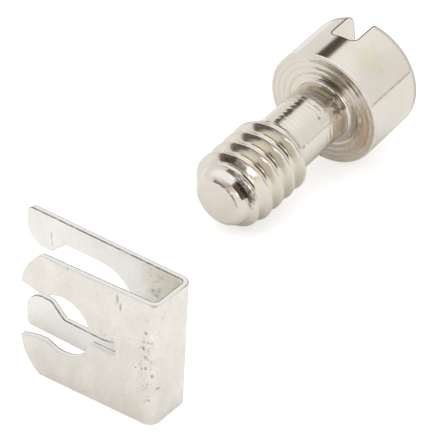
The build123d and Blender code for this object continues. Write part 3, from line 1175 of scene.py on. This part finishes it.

# %% Painted highlights
# Painted highlights on the rim under the head, a spark beside it, a thin glint on the neck, the tip's chamfer
# and the corner where the neck meets the thread. Painted near white and less metallic, they stay bright
# instead of mirroring the dark of the room.
BRIGHT_PLACES = (
    ((HEAD_R - 0.03, -54, 0.035), (0.075, 46, 0.07)),
    ((1.50, -42, 0.00), (0.26, 10, 0.20)),
    ((NECK_R, -28, -1.16), (0.20, 2.5, 0.18)),
    ((0.97, -88, -5.77), (0.19, 26, 0.19)),
    ((NECK_R, -46, -2.74), (0.20, 22, 0.07)),
)
# Their borders are even, and they mirror this much.
BRIGHT_RAGGED = 0.4
MATT_METALLIC = 0.2


def brightened(tree, colour):
    """The colour with its painted highlights, and how metallic the surface is."""
    bright = 0.0
    for middle, half_sizes in BRIGHT_PLACES:
        mask = mark_mask(tree, lathe["polar"], middle, half_sizes, BRIGHT_RAGGED)
        bright = add_node(tree, MATH, {"operation": "MAXIMUM"}, {0: bright, 1: mask}).outputs[0]
    over = {"Factor": bright, FROM: colour, TO: linear("#FFFAF4")}
    lit = add_node(tree, MIX, IN_COLOUR, over).outputs[MIXED]
    mirror = {"Value": bright, **to_band((1.0, MATT_METALLIC))}
    return lit, add_node(tree, RANGE, inputs=mirror).outputs[0]


worn_plate, plate_metallic = brightened(plate_tree, soiled_plate)
print("bright places:", len(BRIGHT_PLACES))

# %% [markdown]
# ## Lines round the slot and the crown
# A broken edge mirrors the dark of the room as a thin line. The edge is too narrow to catch it by itself
# here, so the line is drawn: the distance from the saw's section says where the edge is. The same dark
# shows where the plate is seen edge-on, most of all on the crown's rounding.

# %% Distances from the slot and the skin
def past_corner(tree, beside, beyond):
    """Distance of a point from the middle of a rounded corner, counted only outwards."""
    corner = add_node(tree, "ShaderNodeCombineXYZ", inputs={0: beside, 1: beyond}).outputs[0]
    outwards = {0: corner, 1: Vector((0, 0, 0))}
    outside = add_node(tree, VECTOR_MATH, {"operation": "MAXIMUM"}, outwards).outputs[0]
    return add_node(tree, VECTOR_MATH, {"operation": "LENGTH"}, {0: outside}).outputs["Value"]


def distance_from_saw(tree):
    """It equals the corner's radius on the slot's wall and floor, and grows outwards."""
    sideways = {0: lathe["flat"], 1: Vector((math.cos(SLOT_TURN), math.sin(SLOT_TURN), 0))}
    across = add_node(tree, VECTOR_MATH, {"operation": "DOT_PRODUCT"}, sideways).outputs["Value"]
    aside = add_node(tree, MATH, {"operation": "ABSOLUTE"}, {0: across}).outputs[0]
    wall = {0: aside, 1: SLOT_WIDTH / 2 - SLOT_CORNER}
    beside = add_node(tree, MATH, {"operation": "SUBTRACT"}, wall).outputs[0]
    floor = {0: HEAD_HEIGHT - SLOT_DEPTH + SLOT_CORNER, 1: lathe["along"]}
    below = add_node(tree, MATH, {"operation": "SUBTRACT"}, floor).outputs[0]
    return past_corner(tree, beside, below)


def distance_in_head(tree):
    """It equals the crown's rounding on the skin of the head, and falls inwards."""
    side = {0: lathe["radius"], 1: HEAD_R - CROWN_ROUND}
    outward = add_node(tree, MATH, {"operation": "SUBTRACT"}, side).outputs[0]
    top = {0: lathe["along"], 1: HEAD_HEIGHT - CROWN_ROUND}
    upward = add_node(tree, MATH, {"operation": "SUBTRACT"}, top).outputs[0]
    return past_corner(tree, outward, upward)


from_saw = distance_from_saw(plate_tree)
in_head = distance_in_head(plate_tree)
print("plate nodes so far:", len(plate_tree.nodes))

# %% Line of the slot
# The line starts this far past the wall, in mm. It also runs down the wall's outer border, within this reach
# of the wall and this far in from the skin.
LINE_START = 0.005
WALL_REACH = 0.006
SKIN_BORDER = 0.03


def slot_line(tree):
    """1 on the slot's broken edge and on the outer border of its walls."""
    half = SLOT_BREAK / 2
    on_edge = {0: from_saw, 1: SLOT_CORNER + LINE_START + half, 2: half}
    broken = add_node(tree, MATH, {"operation": "COMPARE"}, on_edge).outputs[0]
    on_wall = {0: from_saw, 1: SLOT_CORNER, 2: WALL_REACH}
    wall = add_node(tree, MATH, {"operation": "COMPARE"}, on_wall).outputs[0]
    at_skin = {0: in_head, 1: CROWN_ROUND - SKIN_BORDER}
    skin = add_node(tree, MATH, {"operation": "GREATER_THAN"}, at_skin).outputs[0]
    border = add_node(tree, MATH, {"operation": "MULTIPLY"}, {0: wall, 1: skin}).outputs[0]
    return add_node(tree, MATH, {"operation": "MAXIMUM"}, {0: broken, 1: border}).outputs[0]


edge_line = slot_line(plate_tree)
print("line on the slot's edge:", SLOT_BREAK, "mm wide")

# %% Dark where seen edge-on
# How steeply the surface turns away where the dark starts: late on the sides, early on the crown.
DARK_STARTS = (0.8, 0.35)
CROWN_BLEND = 0.1
DARK_STRENGTH = 0.9


def edge_on_dark(tree):
    """The dark of the room, which leaves out the walls of the slot."""
    crown = HEAD_HEIGHT - CROWN_ROUND
    facing = add_node(tree, "ShaderNodeLayerWeight", inputs={"Blend": 0.5}).outputs["Facing"]
    rising = {"Value": lathe["along"], "From Min": crown - CROWN_BLEND, "From Max": crown}
    starts = {**rising, **to_band(DARK_STARTS)}
    start = add_node(tree, RANGE, inputs=starts).outputs[0]
    turning = {"Value": facing, "From Min": start, "From Max": 1.0, "To Max": DARK_STRENGTH}
    dark = add_node(tree, RANGE, inputs=turning).outputs[0]
    outside = {0: from_saw, 1: SLOT_CORNER + LINE_START}
    off_slot = add_node(tree, MATH, {"operation": "GREATER_THAN"}, outside).outputs[0]
    return add_node(tree, MATH, {"operation": "MULTIPLY"}, {0: dark, 1: off_slot}).outputs[0]


edge_on = edge_on_dark(plate_tree)
print("plate nodes so far:", len(plate_tree.nodes))

# %% Put the plate together
# Roughness off and on the faced underside, and what the shank adds. The anisotropy is how strongly
# the lathe's grooves smear a reflection: a faced ring does it most.
PLATE_ROUGHNESS = (0.11, 0.15)
SHANK_ROUGHER = 0.04
PLATE_GROOVES = (0.60, 0.95)
# A quarter turn lays the smear across the grooves.
ACROSS_GROOVES = 0.25


def finish_plate(tree):
    """Line the edges, set the gloss and join all in one shader. Metals keep the usual IOR."""
    line = {"Factor": edge_line, FROM: worn_plate, TO: linear("#68625C")}
    lined = add_node(tree, MIX, IN_COLOUR, line).outputs[MIXED]
    dark = {"Factor": edge_on, FROM: lined, TO: linear("#4A4642")}
    outlined = add_node(tree, MIX, IN_COLOUR, dark).outputs[MIXED]
    faced = {"Value": region["faced"], **to_band(PLATE_ROUGHNESS)}
    smooth = add_node(tree, RANGE, inputs=faced).outputs[0]
    shank = {0: region["shank"], 1: SHANK_ROUGHER, 2: smooth}
    rough = add_node(tree, MATH, {"operation": "MULTIPLY_ADD"}, shank).outputs[0]
    grooves = {"Value": region["faced"], **to_band(PLATE_GROOVES)}
    relief = {"Strength": 1.0, "Distance": MM, "Height": plate_relief}
    values = {
        "Base Color": outlined,
        "Metallic": plate_metallic,
        "Roughness": rough,
        "Anisotropic": add_node(tree, RANGE, inputs=grooves).outputs[0],
        "Anisotropic Rotation": ACROSS_GROOVES,
        "Tangent": lathe["around"],
        "Normal": add_node(tree, "ShaderNodeBump", inputs=relief).outputs[0],
    }
    metal = add_node(tree, "ShaderNodeBsdfPrincipled", inputs=values).outputs[0]
    add_node(tree, "ShaderNodeOutputMaterial", inputs={"Surface": metal})


finish_plate(plate_tree)
screw.data.materials.clear()
screw.data.materials.append(plate)
print("screw finish:", len(plate_tree.nodes), "nodes")

# %% [markdown]
# ## Satin plated spring steel
# The clip is stamped from rolled strip, folded and barrel-plated. That leaves a soft satin face with a faint
# upright grain, small pits, and bruises along the fold. A tan stain of the bath stays in the fold. The
# finish is built on Object coordinates, counted in mm from the fold's outside corner, because flat sheet
# needs no unwrapping: the pattern runs through the folded skin as it would through a block.

# %% Place on the clip
def clip_place(tree):
    """Where a point is, in mm from the outside corner of the fold."""
    spot = add_node(tree, "ShaderNodeTexCoord").outputs["Object"]
    corner = {0: spot, 1: Vector((clip_high.x, clip_low.y, 0))}
    from_corner = add_node(tree, VECTOR_MATH, {"operation": "SUBTRACT"}, corner).outputs[0]
    in_mm = {0: from_corner, "Scale": 1 / MM}
    return add_node(tree, VECTOR_MATH, {"operation": "SCALE"}, in_mm).outputs[0]


steel, steel_tree = new_material("satin plated spring steel")
on_clip = clip_place(steel_tree)
skin = {
    name: add_node(steel_tree, "ShaderNodeAttribute", {"attribute_name": name}).outputs["Fac"]
    for name in ("cut", "broken", "depth")
}
print("known of each point of the clip:", ", ".join(skin))

# %% Unevenness of the sheet
# Sizes in mm across, through and up the sheet, then detail and roughness. The tooth of the satin is drawn
# coarser than the real one, which would be too fine to show.
SHEET_PATTERNS = {
    "cloud": ((0.909, 0.909, 0.909), 4.0, 0.6),
    "grain": ((0.125, 0.125, 0.833), 2.0, 0.5),
    "tooth": ((0.0909, 0.0909, 0.0909), 2.0, 0.5),
    "fray": ((0.2, 0.2, 0.2), 4.0, 0.7),
    "knocks": ((0.2083, 0.2083, 0.2083), 4.0, 0.7),
}


def sheet_patterns(tree):
    made = {}
    for name, (sizes, detail, roughness) in SHEET_PATTERNS.items():
        shares = {0: on_clip, 1: Vector(sizes)}
        scaled = add_node(tree, VECTOR_MATH, {"operation": "DIVIDE"}, shares).outputs[0]
        values = {"Vector": scaled, "Scale": 1.0, "Detail": detail, "Roughness": roughness}
        made[name] = add_node(tree, NOISE, inputs=values).outputs[0]
    return made


sheet = sheet_patterns(steel_tree)
print("patterns in the sheet:", ", ".join(sheet))

# %% Satin face
# How much of each pattern is added to the clouds, and the band of their sum that is drawn.
GRAIN_SHARE = 0.25
TOOTH_SHARE = 0.5
SATIN_BAND = (0.6, 1.15)


def satin_face(tree):
    """A pale warm grey between two tones: soft clouds, upright grain and a fine tooth."""
    clouds = {0: sheet["grain"], 1: GRAIN_SHARE, 2: sheet["cloud"]}
    grained = add_node(tree, MATH, {"operation": "MULTIPLY_ADD"}, clouds).outputs[0]
    tooth = {0: sheet["tooth"], 1: TOOTH_SHARE, 2: grained}
    sum_of_three = add_node(tree, MATH, {"operation": "MULTIPLY_ADD"}, tooth).outputs[0]
    spread = {"Value": sum_of_three, **from_band(SATIN_BAND)}
    tone = add_node(tree, RANGE, inputs=spread).outputs[0]
    tones = {"Factor": tone, FROM: linear("#E2DED2"), TO: linear("#F4F1EC")}
    return add_node(tree, MIX, IN_COLOUR, tones).outputs[MIXED]


satin = satin_face(steel_tree)
print("steel nodes so far:", len(steel_tree.nodes))

# %% Pits
# Spacing and size in mm. A pit stands at the point of those cells of a Voronoi pattern whose colour is
# above the rarity, and it fades out between these shares of its size.
PIT_SPACING = 0.42
PIT_SIZE = 0.035
PIT_RARITY = 0.55
PIT_STRENGTH = 0.45
PIT_BORDER = (0.6, 1.3)


def pitted(tree, colour):
    """The colour with its pits, and the mask of the pits."""
    spread = {"Vector": on_clip, "Scale": 1 / PIT_SPACING}
    cells = add_node(tree, "ShaderNodeTexVoronoi", {"feature": "F1"}, spread).outputs
    pick = add_node(tree, "ShaderNodeSeparateColor", inputs={0: cells["Color"]}).outputs[0]
    chosen = add_node(tree, MATH, {"operation": "GREATER_THAN"}, {0: pick, 1: PIT_RARITY}).outputs[0]
    ends = [share * PIT_SIZE / PIT_SPACING for share in PIT_BORDER]
    border = {"Value": cells["Distance"], **from_band(ends), **to_band((PIT_STRENGTH, 0.0))}
    near = add_node(tree, RANGE, inputs=border).outputs[0]
    pit = add_node(tree, MATH, {"operation": "MULTIPLY"}, {0: near, 1: chosen}).outputs[0]
    dark = {"Factor": pit, FROM: colour, TO: linear("#A8A498")}
    return add_node(tree, MIX, IN_COLOUR, dark).outputs[MIXED], pit


pitted_satin, pits = pitted(steel_tree, satin)
print("pits every", PIT_SPACING, "mm")

# %% [markdown]
# ## Marks on the clip
# The strip is scratched at its cut edges, the folding tool bruises it in a ragged column along the front
# bend, and the bath dries inside the fold. They are painted one after another like those on the screw. A
# spotted place is one broad mark that a noise breaks up into many small ones, so that they needn't be listed.

# %% Single marks of the clip
# Middle and half sizes in mm from the fold's outside corner, colour and strength.
CLIP_MARKS = (
    # Two scratches near the end of the long leg and one on the short leg's top edge.
    ((-5.27, 1.84, 3.70), (0.028, 0.3, 0.14), "#8E8A80", 0.8),
    ((-5.23, 1.84, 3.46), (0.022, 0.3, 0.10), "#8E8A80", 0.8),
    ((-3.25, 0.10, 4.38), (0.045, 0.16, 0.10), "#77736A", 0.9),
    # Dents of the die near the top edge.
    ((-1.42, 0.00, 4.08), (0.055, 0.2, 0.16), "#B8B4A8", 0.8),
    ((-1.30, 0.00, 3.84), (0.045, 0.2, 0.13), "#B0ACA0", 0.8),
    ((-0.16, 0.05, 4.34), (0.10, 0.2, 0.05), "#9A968C", 0.6),
    # Bruises down the front bend.
    ((-0.36, 0.02, 3.34), (0.05, 0.2, 0.06), "#A8A498", 0.8),
    ((-0.42, 0.02, 2.76), (0.04, 0.2, 0.09), "#98948A", 0.9),
    ((-0.34, 0.02, 2.47), (0.05, 0.2, 0.05), "#A8A498", 0.8),
    ((-0.33, 0.02, 2.07), (0.04, 0.2, 0.07), "#98948A", 0.8),
    ((-0.69, 0.00, 1.94), (0.035, 0.2, 0.035), "#A8A498", 0.8),
    ((-0.14, 0.10, 1.82), (0.04, 0.2, 0.06), "#A8A498", 0.8),
    ((-0.03, 0.25, 1.33), (0.05, 0.1, 0.06), "#A8A498", 0.7),
    ((-0.20, 0.05, 0.92), (0.04, 0.2, 0.06), "#A8A498", 0.8),
)
# The stain inside the fold: a pale patch, then the darker dots in it.
STAIN = (
    ((-0.95, 1.66, 3.95), (0.85, 0.28, 0.70), "#D9D1B6", 0.75),
    ((-1.22, 1.66, 3.45), (0.26, 0.28, 0.17), "#B9B29E", 0.6),
    ((-1.33, 1.66, 3.50), (0.05, 0.3, 0.05), "#6A6458", 0.9),
    ((-1.19, 1.66, 3.38), (0.06, 0.3, 0.06), "#6A6458", 0.9),
    ((-1.08, 1.66, 3.56), (0.05, 0.3, 0.04), "#6A6458", 0.9),
    ((-1.10, 1.66, 4.10), (0.16, 0.3, 0.05), "#B0A896", 0.7),
)
# Places with many spots: the front bend, the short leg beside it, and the stain.
SPOTTED_PLACES = (
    ((-0.33, 0.02, 2.20), (0.24, 0.4, 1.60), "#9E9A8E", 0.75),
    ((-1.75, 0.02, 2.40), (0.45, 0.3, 0.50), "#B4B0A4", 0.5),
    ((-0.95, 1.66, 3.85), (0.80, 0.3, 0.75), "#A39B82", 0.75),
)
print("single marks:", len(CLIP_MARKS), "stains:", len(STAIN), "spotted places:", len(SPOTTED_PLACES))

# %% Paint the clip's marks
# How far the inside of the fold is painted towards white, a painted light against the shade of the clip's own
# reflections.
INSIDE_CLEANER = 0.35
# Bands of the noises that fray a mark's border and that leave a spot.
FRAY_BAND = (0.2, 0.8)
SPOT_BAND = (0.53, 0.64)


def bruised(tree, colour):
    """The satin with its stain, marks and spots. The inside of the fold is painted paler, against the shade
    that the clip's own reflections give it.
    """
    spread = {"Value": sheet["fray"], **from_band(FRAY_BAND)}
    ragged = add_node(tree, RANGE, inputs=spread).outputs[0]
    marked = paint_marks(tree, colour, on_clip, STAIN + CLIP_MARKS, ragged)
    strong_knocks = {"Value": sheet["knocks"], **from_band(SPOT_BAND)}
    spots = add_node(tree, RANGE, inputs=strong_knocks).outputs[0]
    spotted = paint_marks(tree, marked, on_clip, SPOTTED_PLACES, ragged, spots)
    inside = {0: skin["depth"], 1: INSIDE_CLEANER}
    clean = add_node(tree, MATH, {"operation": "MULTIPLY"}, inside).outputs[0]
    paler = {"Factor": clean, FROM: spotted, TO: linear("#FFFFFF")}
    return add_node(tree, MIX, IN_COLOUR, paler).outputs[MIXED]


bruised_satin = bruised(steel_tree, pitted_satin)
print("steel nodes so far:", len(steel_tree.nodes))

# %% [markdown]
# ## Sheared edges
# The punch makes a bright sheared band round the whole outline. It rolls the sheet over softly on the
# outside, which leaves a thin line that shows best on the far leg, and raises a darker burr on the
# inside. How deep a point lies in the sheet tells these apart: 0 is the outer skin and 1 the inner one.

# %% Sheared band
# Depths between which each line fades in, as shares of the sheet, and how far back, in mm, the near leg's
# look gives way to the far leg's.
BURR_DEPTH = (0.70, 0.86)
ROLLED_DEPTH = (0.24, 0.10)
FAR_LEG = (0.9, 1.5)
# Strength of the rolled line on the near and on the far leg, and of the burr where the knocks break it.
ROLLED_STRENGTH = (0.15, 0.8)
BURR_LEAST = 0.45
BURR_BREAKS = (0.35, 0.55)


def sheared_band(tree):
    """Colour of the cut edges: bright, with a burr on the inner side and a rolled outer side."""
    bright = {"Factor": sheet["tooth"], FROM: linear("#F4F1E8"), TO: linear("#FFFFFF")}
    sheared = add_node(tree, MIX, IN_COLOUR, bright).outputs[MIXED]
    rolling = {"Value": skin["depth"], **from_band(ROLLED_DEPTH)}
    rolled = add_node(tree, RANGE, inputs=rolling).outputs[0]
    back = add_node(tree, "ShaderNodeSeparateXYZ", inputs={0: on_clip}).outputs["Y"]
    legs = {"Value": back, **from_band(FAR_LEG)}
    strengths = {**legs, **to_band(ROLLED_STRENGTH)}
    far = add_node(tree, RANGE, inputs=strengths).outputs[0]
    outer = add_node(tree, MATH, {"operation": "MULTIPLY"}, {0: rolled, 1: far}).outputs[0]
    lined = {"Factor": outer, FROM: sheared, TO: linear("#8E8A84")}
    with_line = add_node(tree, MIX, IN_COLOUR, lined).outputs[MIXED]
    raised = {"Value": skin["depth"], **from_band(BURR_DEPTH)}
    burr = add_node(tree, RANGE, inputs=raised).outputs[0]
    breaks = {"Value": sheet["knocks"], **from_band(BURR_BREAKS), **to_band((BURR_LEAST, 1.0))}
    broken_up = add_node(tree, RANGE, inputs=breaks).outputs[0]
    inner = add_node(tree, MATH, {"operation": "MULTIPLY"}, {0: burr, 1: broken_up}).outputs[0]
    burred = {"Factor": inner, FROM: with_line, TO: linear("#7F7A70")}
    return add_node(tree, MIX, IN_COLOUR, burred).outputs[MIXED]


band = sheared_band(steel_tree)
print("burr from", round(BURR_DEPTH[0] * SHEET, 3), "mm below the outer skin")

# %% Put the clip's finish together
# Roughness and metallic on the face and on a cut edge: sheared steel scatters more light than it mirrors.
STEEL_ROUGHNESS = (0.36, 0.55)
STEEL_METALLIC = (1.0, 0.35)
# Where a surface seen edge-on starts to take a painted dark reflection of the room, and how dark.
RIM_STARTS = 0.8
RIM_STRENGTH = 0.5
# Height of the grain in mm, and how many times as deep a pit is.
GRAIN_DEPTH = 0.004
PIT_DROP = -2.0


def steel_relief(tree):
    """Bump of grain, tooth and pits."""
    sunk = {0: pits, 1: PIT_DROP, 2: sheet["grain"]}
    deeper = add_node(tree, MATH, {"operation": "MULTIPLY_ADD"}, sunk).outputs[0]
    teeth = {0: sheet["tooth"], 1: TOOTH_SHARE, 2: deeper}
    height = add_node(tree, MATH, {"operation": "MULTIPLY_ADD"}, teeth).outputs[0]
    relief = {"Strength": 1.0, "Distance": GRAIN_DEPTH * MM, "Height": height}
    return add_node(tree, "ShaderNodeBump", inputs=relief).outputs[0]


def finish_steel(tree):
    """Put the band on the cut edges, paint a dark reflection on the rim, and join all in one shader."""
    sides = {0: skin["cut"], 1: skin["broken"]}
    edge = add_node(tree, MATH, {"operation": "MAXIMUM"}, sides).outputs[0]
    banded = {"Factor": edge, FROM: bruised_satin, TO: band}
    with_band = add_node(tree, MIX, IN_COLOUR, banded).outputs[MIXED]
    facing = add_node(tree, "ShaderNodeLayerWeight", inputs={"Blend": 0.5}).outputs["Facing"]
    turning = {"Value": facing, "From Min": RIM_STARTS, "From Max": 1.0, "To Max": RIM_STRENGTH}
    rim = {"Factor": add_node(tree, RANGE, inputs=turning).outputs[0], FROM: with_band, TO: linear("#8E8C86")}
    rough = {"Value": skin["cut"], **to_band(STEEL_ROUGHNESS)}
    plated = {"Value": edge, **to_band(STEEL_METALLIC)}
    values = {
        "Base Color": add_node(tree, MIX, IN_COLOUR, rim).outputs[MIXED],
        "Metallic": add_node(tree, RANGE, inputs=plated).outputs[0],
        "Roughness": add_node(tree, RANGE, inputs=rough).outputs[0],
        "Normal": steel_relief(tree),
    }
    metal = add_node(tree, "ShaderNodeBsdfPrincipled", inputs=values).outputs[0]
    add_node(tree, "ShaderNodeOutputMaterial", inputs={"Surface": metal})


finish_steel(steel_tree)
clip.data.materials.append(steel)
print("clip finish:", len(steel_tree.nodes), "nodes")

# %% [markdown]
# ## Table
# A matt white table stands for the studio's paper sweep. It could curve up at the back, but a flat floor
# under a white sky looks the same and keeps the soft contact shadow of the two pieces. Lit paper is a
# little grey next to the sky, so it gives a weak light of its own to the camera, and is paler in
# mirror-like reflections: that lifts the paper to white and leaves the shadow in place.

# %% White paper
# The share of light that the paper gives back, its glow to the camera, and its share in a mirror.
PAPER_WHITE = 0.86
CAMERA_GLOW = 0.55
MIRROR_GAIN = 1.22


def white_paper():
    paper, tree = new_material("matt white paper")
    path = add_node(tree, "ShaderNodeLightPath").outputs
    to_camera = {0: path["Is Camera Ray"], 1: CAMERA_GLOW}
    glow = add_node(tree, MATH, {"operation": "MULTIPLY"}, to_camera).outputs[0]
    lit = {"Color": linear("#FFFFFF"), "Strength": glow}
    light = add_node(tree, "ShaderNodeEmission", inputs=lit).outputs[0]
    mirrored_paper = {"Value": path["Is Glossy Ray"], **to_band((PAPER_WHITE, MIRROR_GAIN))}
    albedo = add_node(tree, RANGE, inputs=mirrored_paper).outputs[0]
    matt = add_node(tree, "ShaderNodeBsdfDiffuse", inputs={"Color": albedo}).outputs[0]
    both = add_node(tree, "ShaderNodeAddShader", inputs={0: light, 1: matt}).outputs[0]
    add_node(tree, "ShaderNodeOutputMaterial", inputs={"Surface": both})
    return paper


paper = white_paper()
print("paper reflects", PAPER_WHITE)

# %% Table
# Metres from the middle to each side.
TABLE_HALF = 0.5


def flat_card(name, corners, material):
    """One flat face. It faces the side from which its corners run anticlockwise."""
    mesh = bpy.data.meshes.new(name)
    mesh.from_pydata(corners, [], [(0, 1, 2, 3)])
    mesh.materials.append(material)
    return mesh_object(name, mesh)


quarters = ((-1, -1), (1, -1), (1, 1), (-1, 1))
table = flat_card("table", [(x * TABLE_HALF, y * TABLE_HALF, 0) for x, y in quarters], paper)
table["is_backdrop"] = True
print("table:", 2 * TABLE_HALF, "m wide")

# %% [markdown]
# ## Bounce card
# The end of the screw looks towards the clip, where a plain table would leave it dull. A photographer
# puts a small white card there, which only the mirror of the screw sees. It could be a lamp, but a lamp
# would also light the table. The card shines on the screw's side only, so the clip's back stays calm.

# %% Bounce card
# Its place in the frame in mm, and how brightly it shines.
CARD_Y = -6.6
CARD_LEFT = -2.5
CARD_RIGHT = 1.5
CARD_LOW = 0.2
CARD_HIGH = 2.6
CARD_LEVEL = 2.6


def lit_card():
    """White light from the front, nothing from behind."""
    made, tree = new_material("lit white card")
    lit = {"Color": linear("#FFFDF8"), "Strength": CARD_LEVEL}
    light = add_node(tree, "ShaderNodeEmission", inputs=lit).outputs[0]
    clear = add_node(tree, "ShaderNodeBsdfTransparent").outputs[0]
    behind = add_node(tree, "ShaderNodeNewGeometry").outputs["Backfacing"]
    sides = {0: behind, 1: light, 2: clear}
    one_sided = add_node(tree, "ShaderNodeMixShader", inputs=sides).outputs[0]
    add_node(tree, "ShaderNodeOutputMaterial", inputs={"Surface": one_sided})
    return made


edge = ((CARD_RIGHT, CARD_LOW), (CARD_LEFT, CARD_LOW), (CARD_LEFT, CARD_HIGH), (CARD_RIGHT, CARD_HIGH))
card = flat_card("bounce_card", [(x * MM, CARD_Y * MM, z * MM) for x, z in edge], lit_card())
card.visible_camera = False
card.visible_diffuse = False
card.visible_shadow = False
card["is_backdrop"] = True
print("bounce card:", CARD_RIGHT - CARD_LEFT, "mm wide")

# %% [markdown]
# ## Studio
# Plated metal has hardly a colour of its own: it shows what stands round it. The world is therefore a
# white tent, brightest overhead, with dark panels in it, as a photographer has them. Each panel is a
# soft-edged rectangle on the sky, given by the direction of its middle and by its width and height as
# angles. Real panels and lamps would need objects of their own; on the sky they cost nothing and stay sharp.
# The camera itself sees plain white.

# %% Directions on the sky
def toward(turn, rise):
    """Direction in the frame: turn 0 looks along -Y and grows towards +X; rise is above the table."""
    t, r = math.radians(turn), math.radians(rise)
    return Vector((math.sin(t) * math.cos(r), -math.cos(t) * math.cos(r), math.sin(r)))


def panel_mask(tree, direction, turn, rise, width, height, edge):
    """1 inside a rectangle on the sky, 0 outside it, with a soft edge. All in degrees."""
    middle = toward(turn, rise)
    level = toward(turn + 90, 0)
    soft = math.radians(edge)
    straight = {0: direction, 1: middle}
    ahead = add_node(tree, VECTOR_MATH, {"operation": "DOT_PRODUCT"}, straight).outputs["Value"]
    mask = 1.0
    for across, size in ((level, width), (middle.cross(level), height)):
        sideways = {0: direction, 1: across}
        aside = add_node(tree, VECTOR_MATH, {"operation": "DOT_PRODUCT"}, sideways).outputs["Value"]
        angle = add_node(tree, MATH, {"operation": "ARCTAN2"}, {0: aside, 1: ahead}).outputs[0]
        off = add_node(tree, MATH, {"operation": "ABSOLUTE"}, {0: angle}).outputs[0]
        half = math.radians(size / 2)
        ends = (half - soft / 2, half + soft / 2)
        border = {"Value": off, **from_band(ends), **to_band(FALLING)}
        inside = add_node(tree, RANGE, SMOOTHLY, border).outputs[0]
        mask = add_node(tree, MATH, {"operation": "MULTIPLY"}, {0: mask, 1: inside}).outputs[0]
    return mask


print("straight up is", [round(v, 3) for v in toward(0, 90)])

# %% White tent and its panels
# How bright the tent is at its sides and at its top.
SIDE_LEVEL = 0.92
TOP_LEVEL = 1.22
# How quickly the tent gets brighter towards its top.
TOP_POWER = 4.0
# Turn, rise, width, height and soft edge in degrees, then colour and level.
PANELS = (
    # Dark panels: behind and above, low at the left, behind the camera, and tall at the right.
    (-136, 43, 18, 20, 4, "#584C43", 1.0),
    (-16, 8, 54, 26, 5, "#665850", 1.0),
    (12, 38, 66, 16, 8, "#665A55", 1.0),
    (69, 22, 42, 80, 6, "#5E524A", 1.0),
    # One bright lamp low under the camera.
    (32, 4, 26, 16, 5, "#FFFAF2", 2.2),
    # The dark seam where the table ends.
    (130, 1.5, 90, 1.2, 0.8, "#857C73", 1.0),
)


def tent(tree, direction):
    """White, brightest overhead, with the panels painted on one after another."""
    up = add_node(tree, "ShaderNodeSeparateXYZ", inputs={0: direction}).outputs["Z"]
    steep = add_node(tree, MATH, {"operation": "POWER"}, {0: up, 1: TOP_POWER}).outputs[0]
    levels = {"Value": steep, **to_band((SIDE_LEVEL, TOP_LEVEL))}
    white = add_node(tree, RANGE, inputs=levels).outputs[0]
    colour = add_node(tree, "ShaderNodeCombineXYZ", inputs={0: white, 1: white, 2: white}).outputs[0]
    for turn, rise, width, height, edge, shade, level in PANELS:
        mask = panel_mask(tree, direction, turn, rise, width, height, edge)
        lit = (*(level * channel for channel in linear(shade)[:3]), 1.0)
        over = {"Factor": mask, FROM: colour, TO: lit}
        colour = add_node(tree, MIX, IN_COLOUR, over).outputs[MIXED]
    return colour


world = bpy.data.worlds.new("studio")
world.use_nodes = True
world.node_tree.nodes.clear()
direction = add_node(world.node_tree, "ShaderNodeTexCoord").outputs["Generated"]
tent_colour = tent(world.node_tree, direction)
print("panels in the tent:", len(PANELS))

# %% Studio sky
def finish_sky(tree):
    """The tent lights and is mirrored, but the camera sees plain white."""
    lit = {"Color": tent_colour, "Strength": 1.0}
    sky = add_node(tree, "ShaderNodeBackground", inputs=lit).outputs[0]
    plain = {"Color": linear("#FFFFFF"), "Strength": 1.0}
    white = add_node(tree, "ShaderNodeBackground", inputs=plain).outputs[0]
    to_camera = add_node(tree, "ShaderNodeLightPath").outputs["Is Camera Ray"]
    split = {0: to_camera, 1: sky, 2: white}
    seen = add_node(tree, "ShaderNodeMixShader", inputs=split).outputs[0]
    add_node(tree, "ShaderNodeOutputWorld", inputs={"Surface": seen})


finish_sky(world.node_tree)
bpy.context.scene.world = world
bpy.context.scene.view_settings.view_transform = "Standard"
print("sky nodes:", len(world.node_tree.nodes))

# %% [markdown]
# ## Hand over
# Each new mesh takes the place of its construction solid and rides on the one body of the frame. The outer
# box is measured again, to show that the finish has kept the size.

# %% Ride on the frame
for piece, node, slot_name in (
    (screw, "captive_screw", "screw_plating"),
    (clip, "retaining_clip", "clip_steel"),
):
    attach(piece, "root")
    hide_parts(node)
new_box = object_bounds()
shifts = [(b - a) / MM for old, new in zip(cad_box, new_box) for a, b in zip(old, new)]
print("change of the outer box (mm):", [round(shift, 4) for shift in shifts])
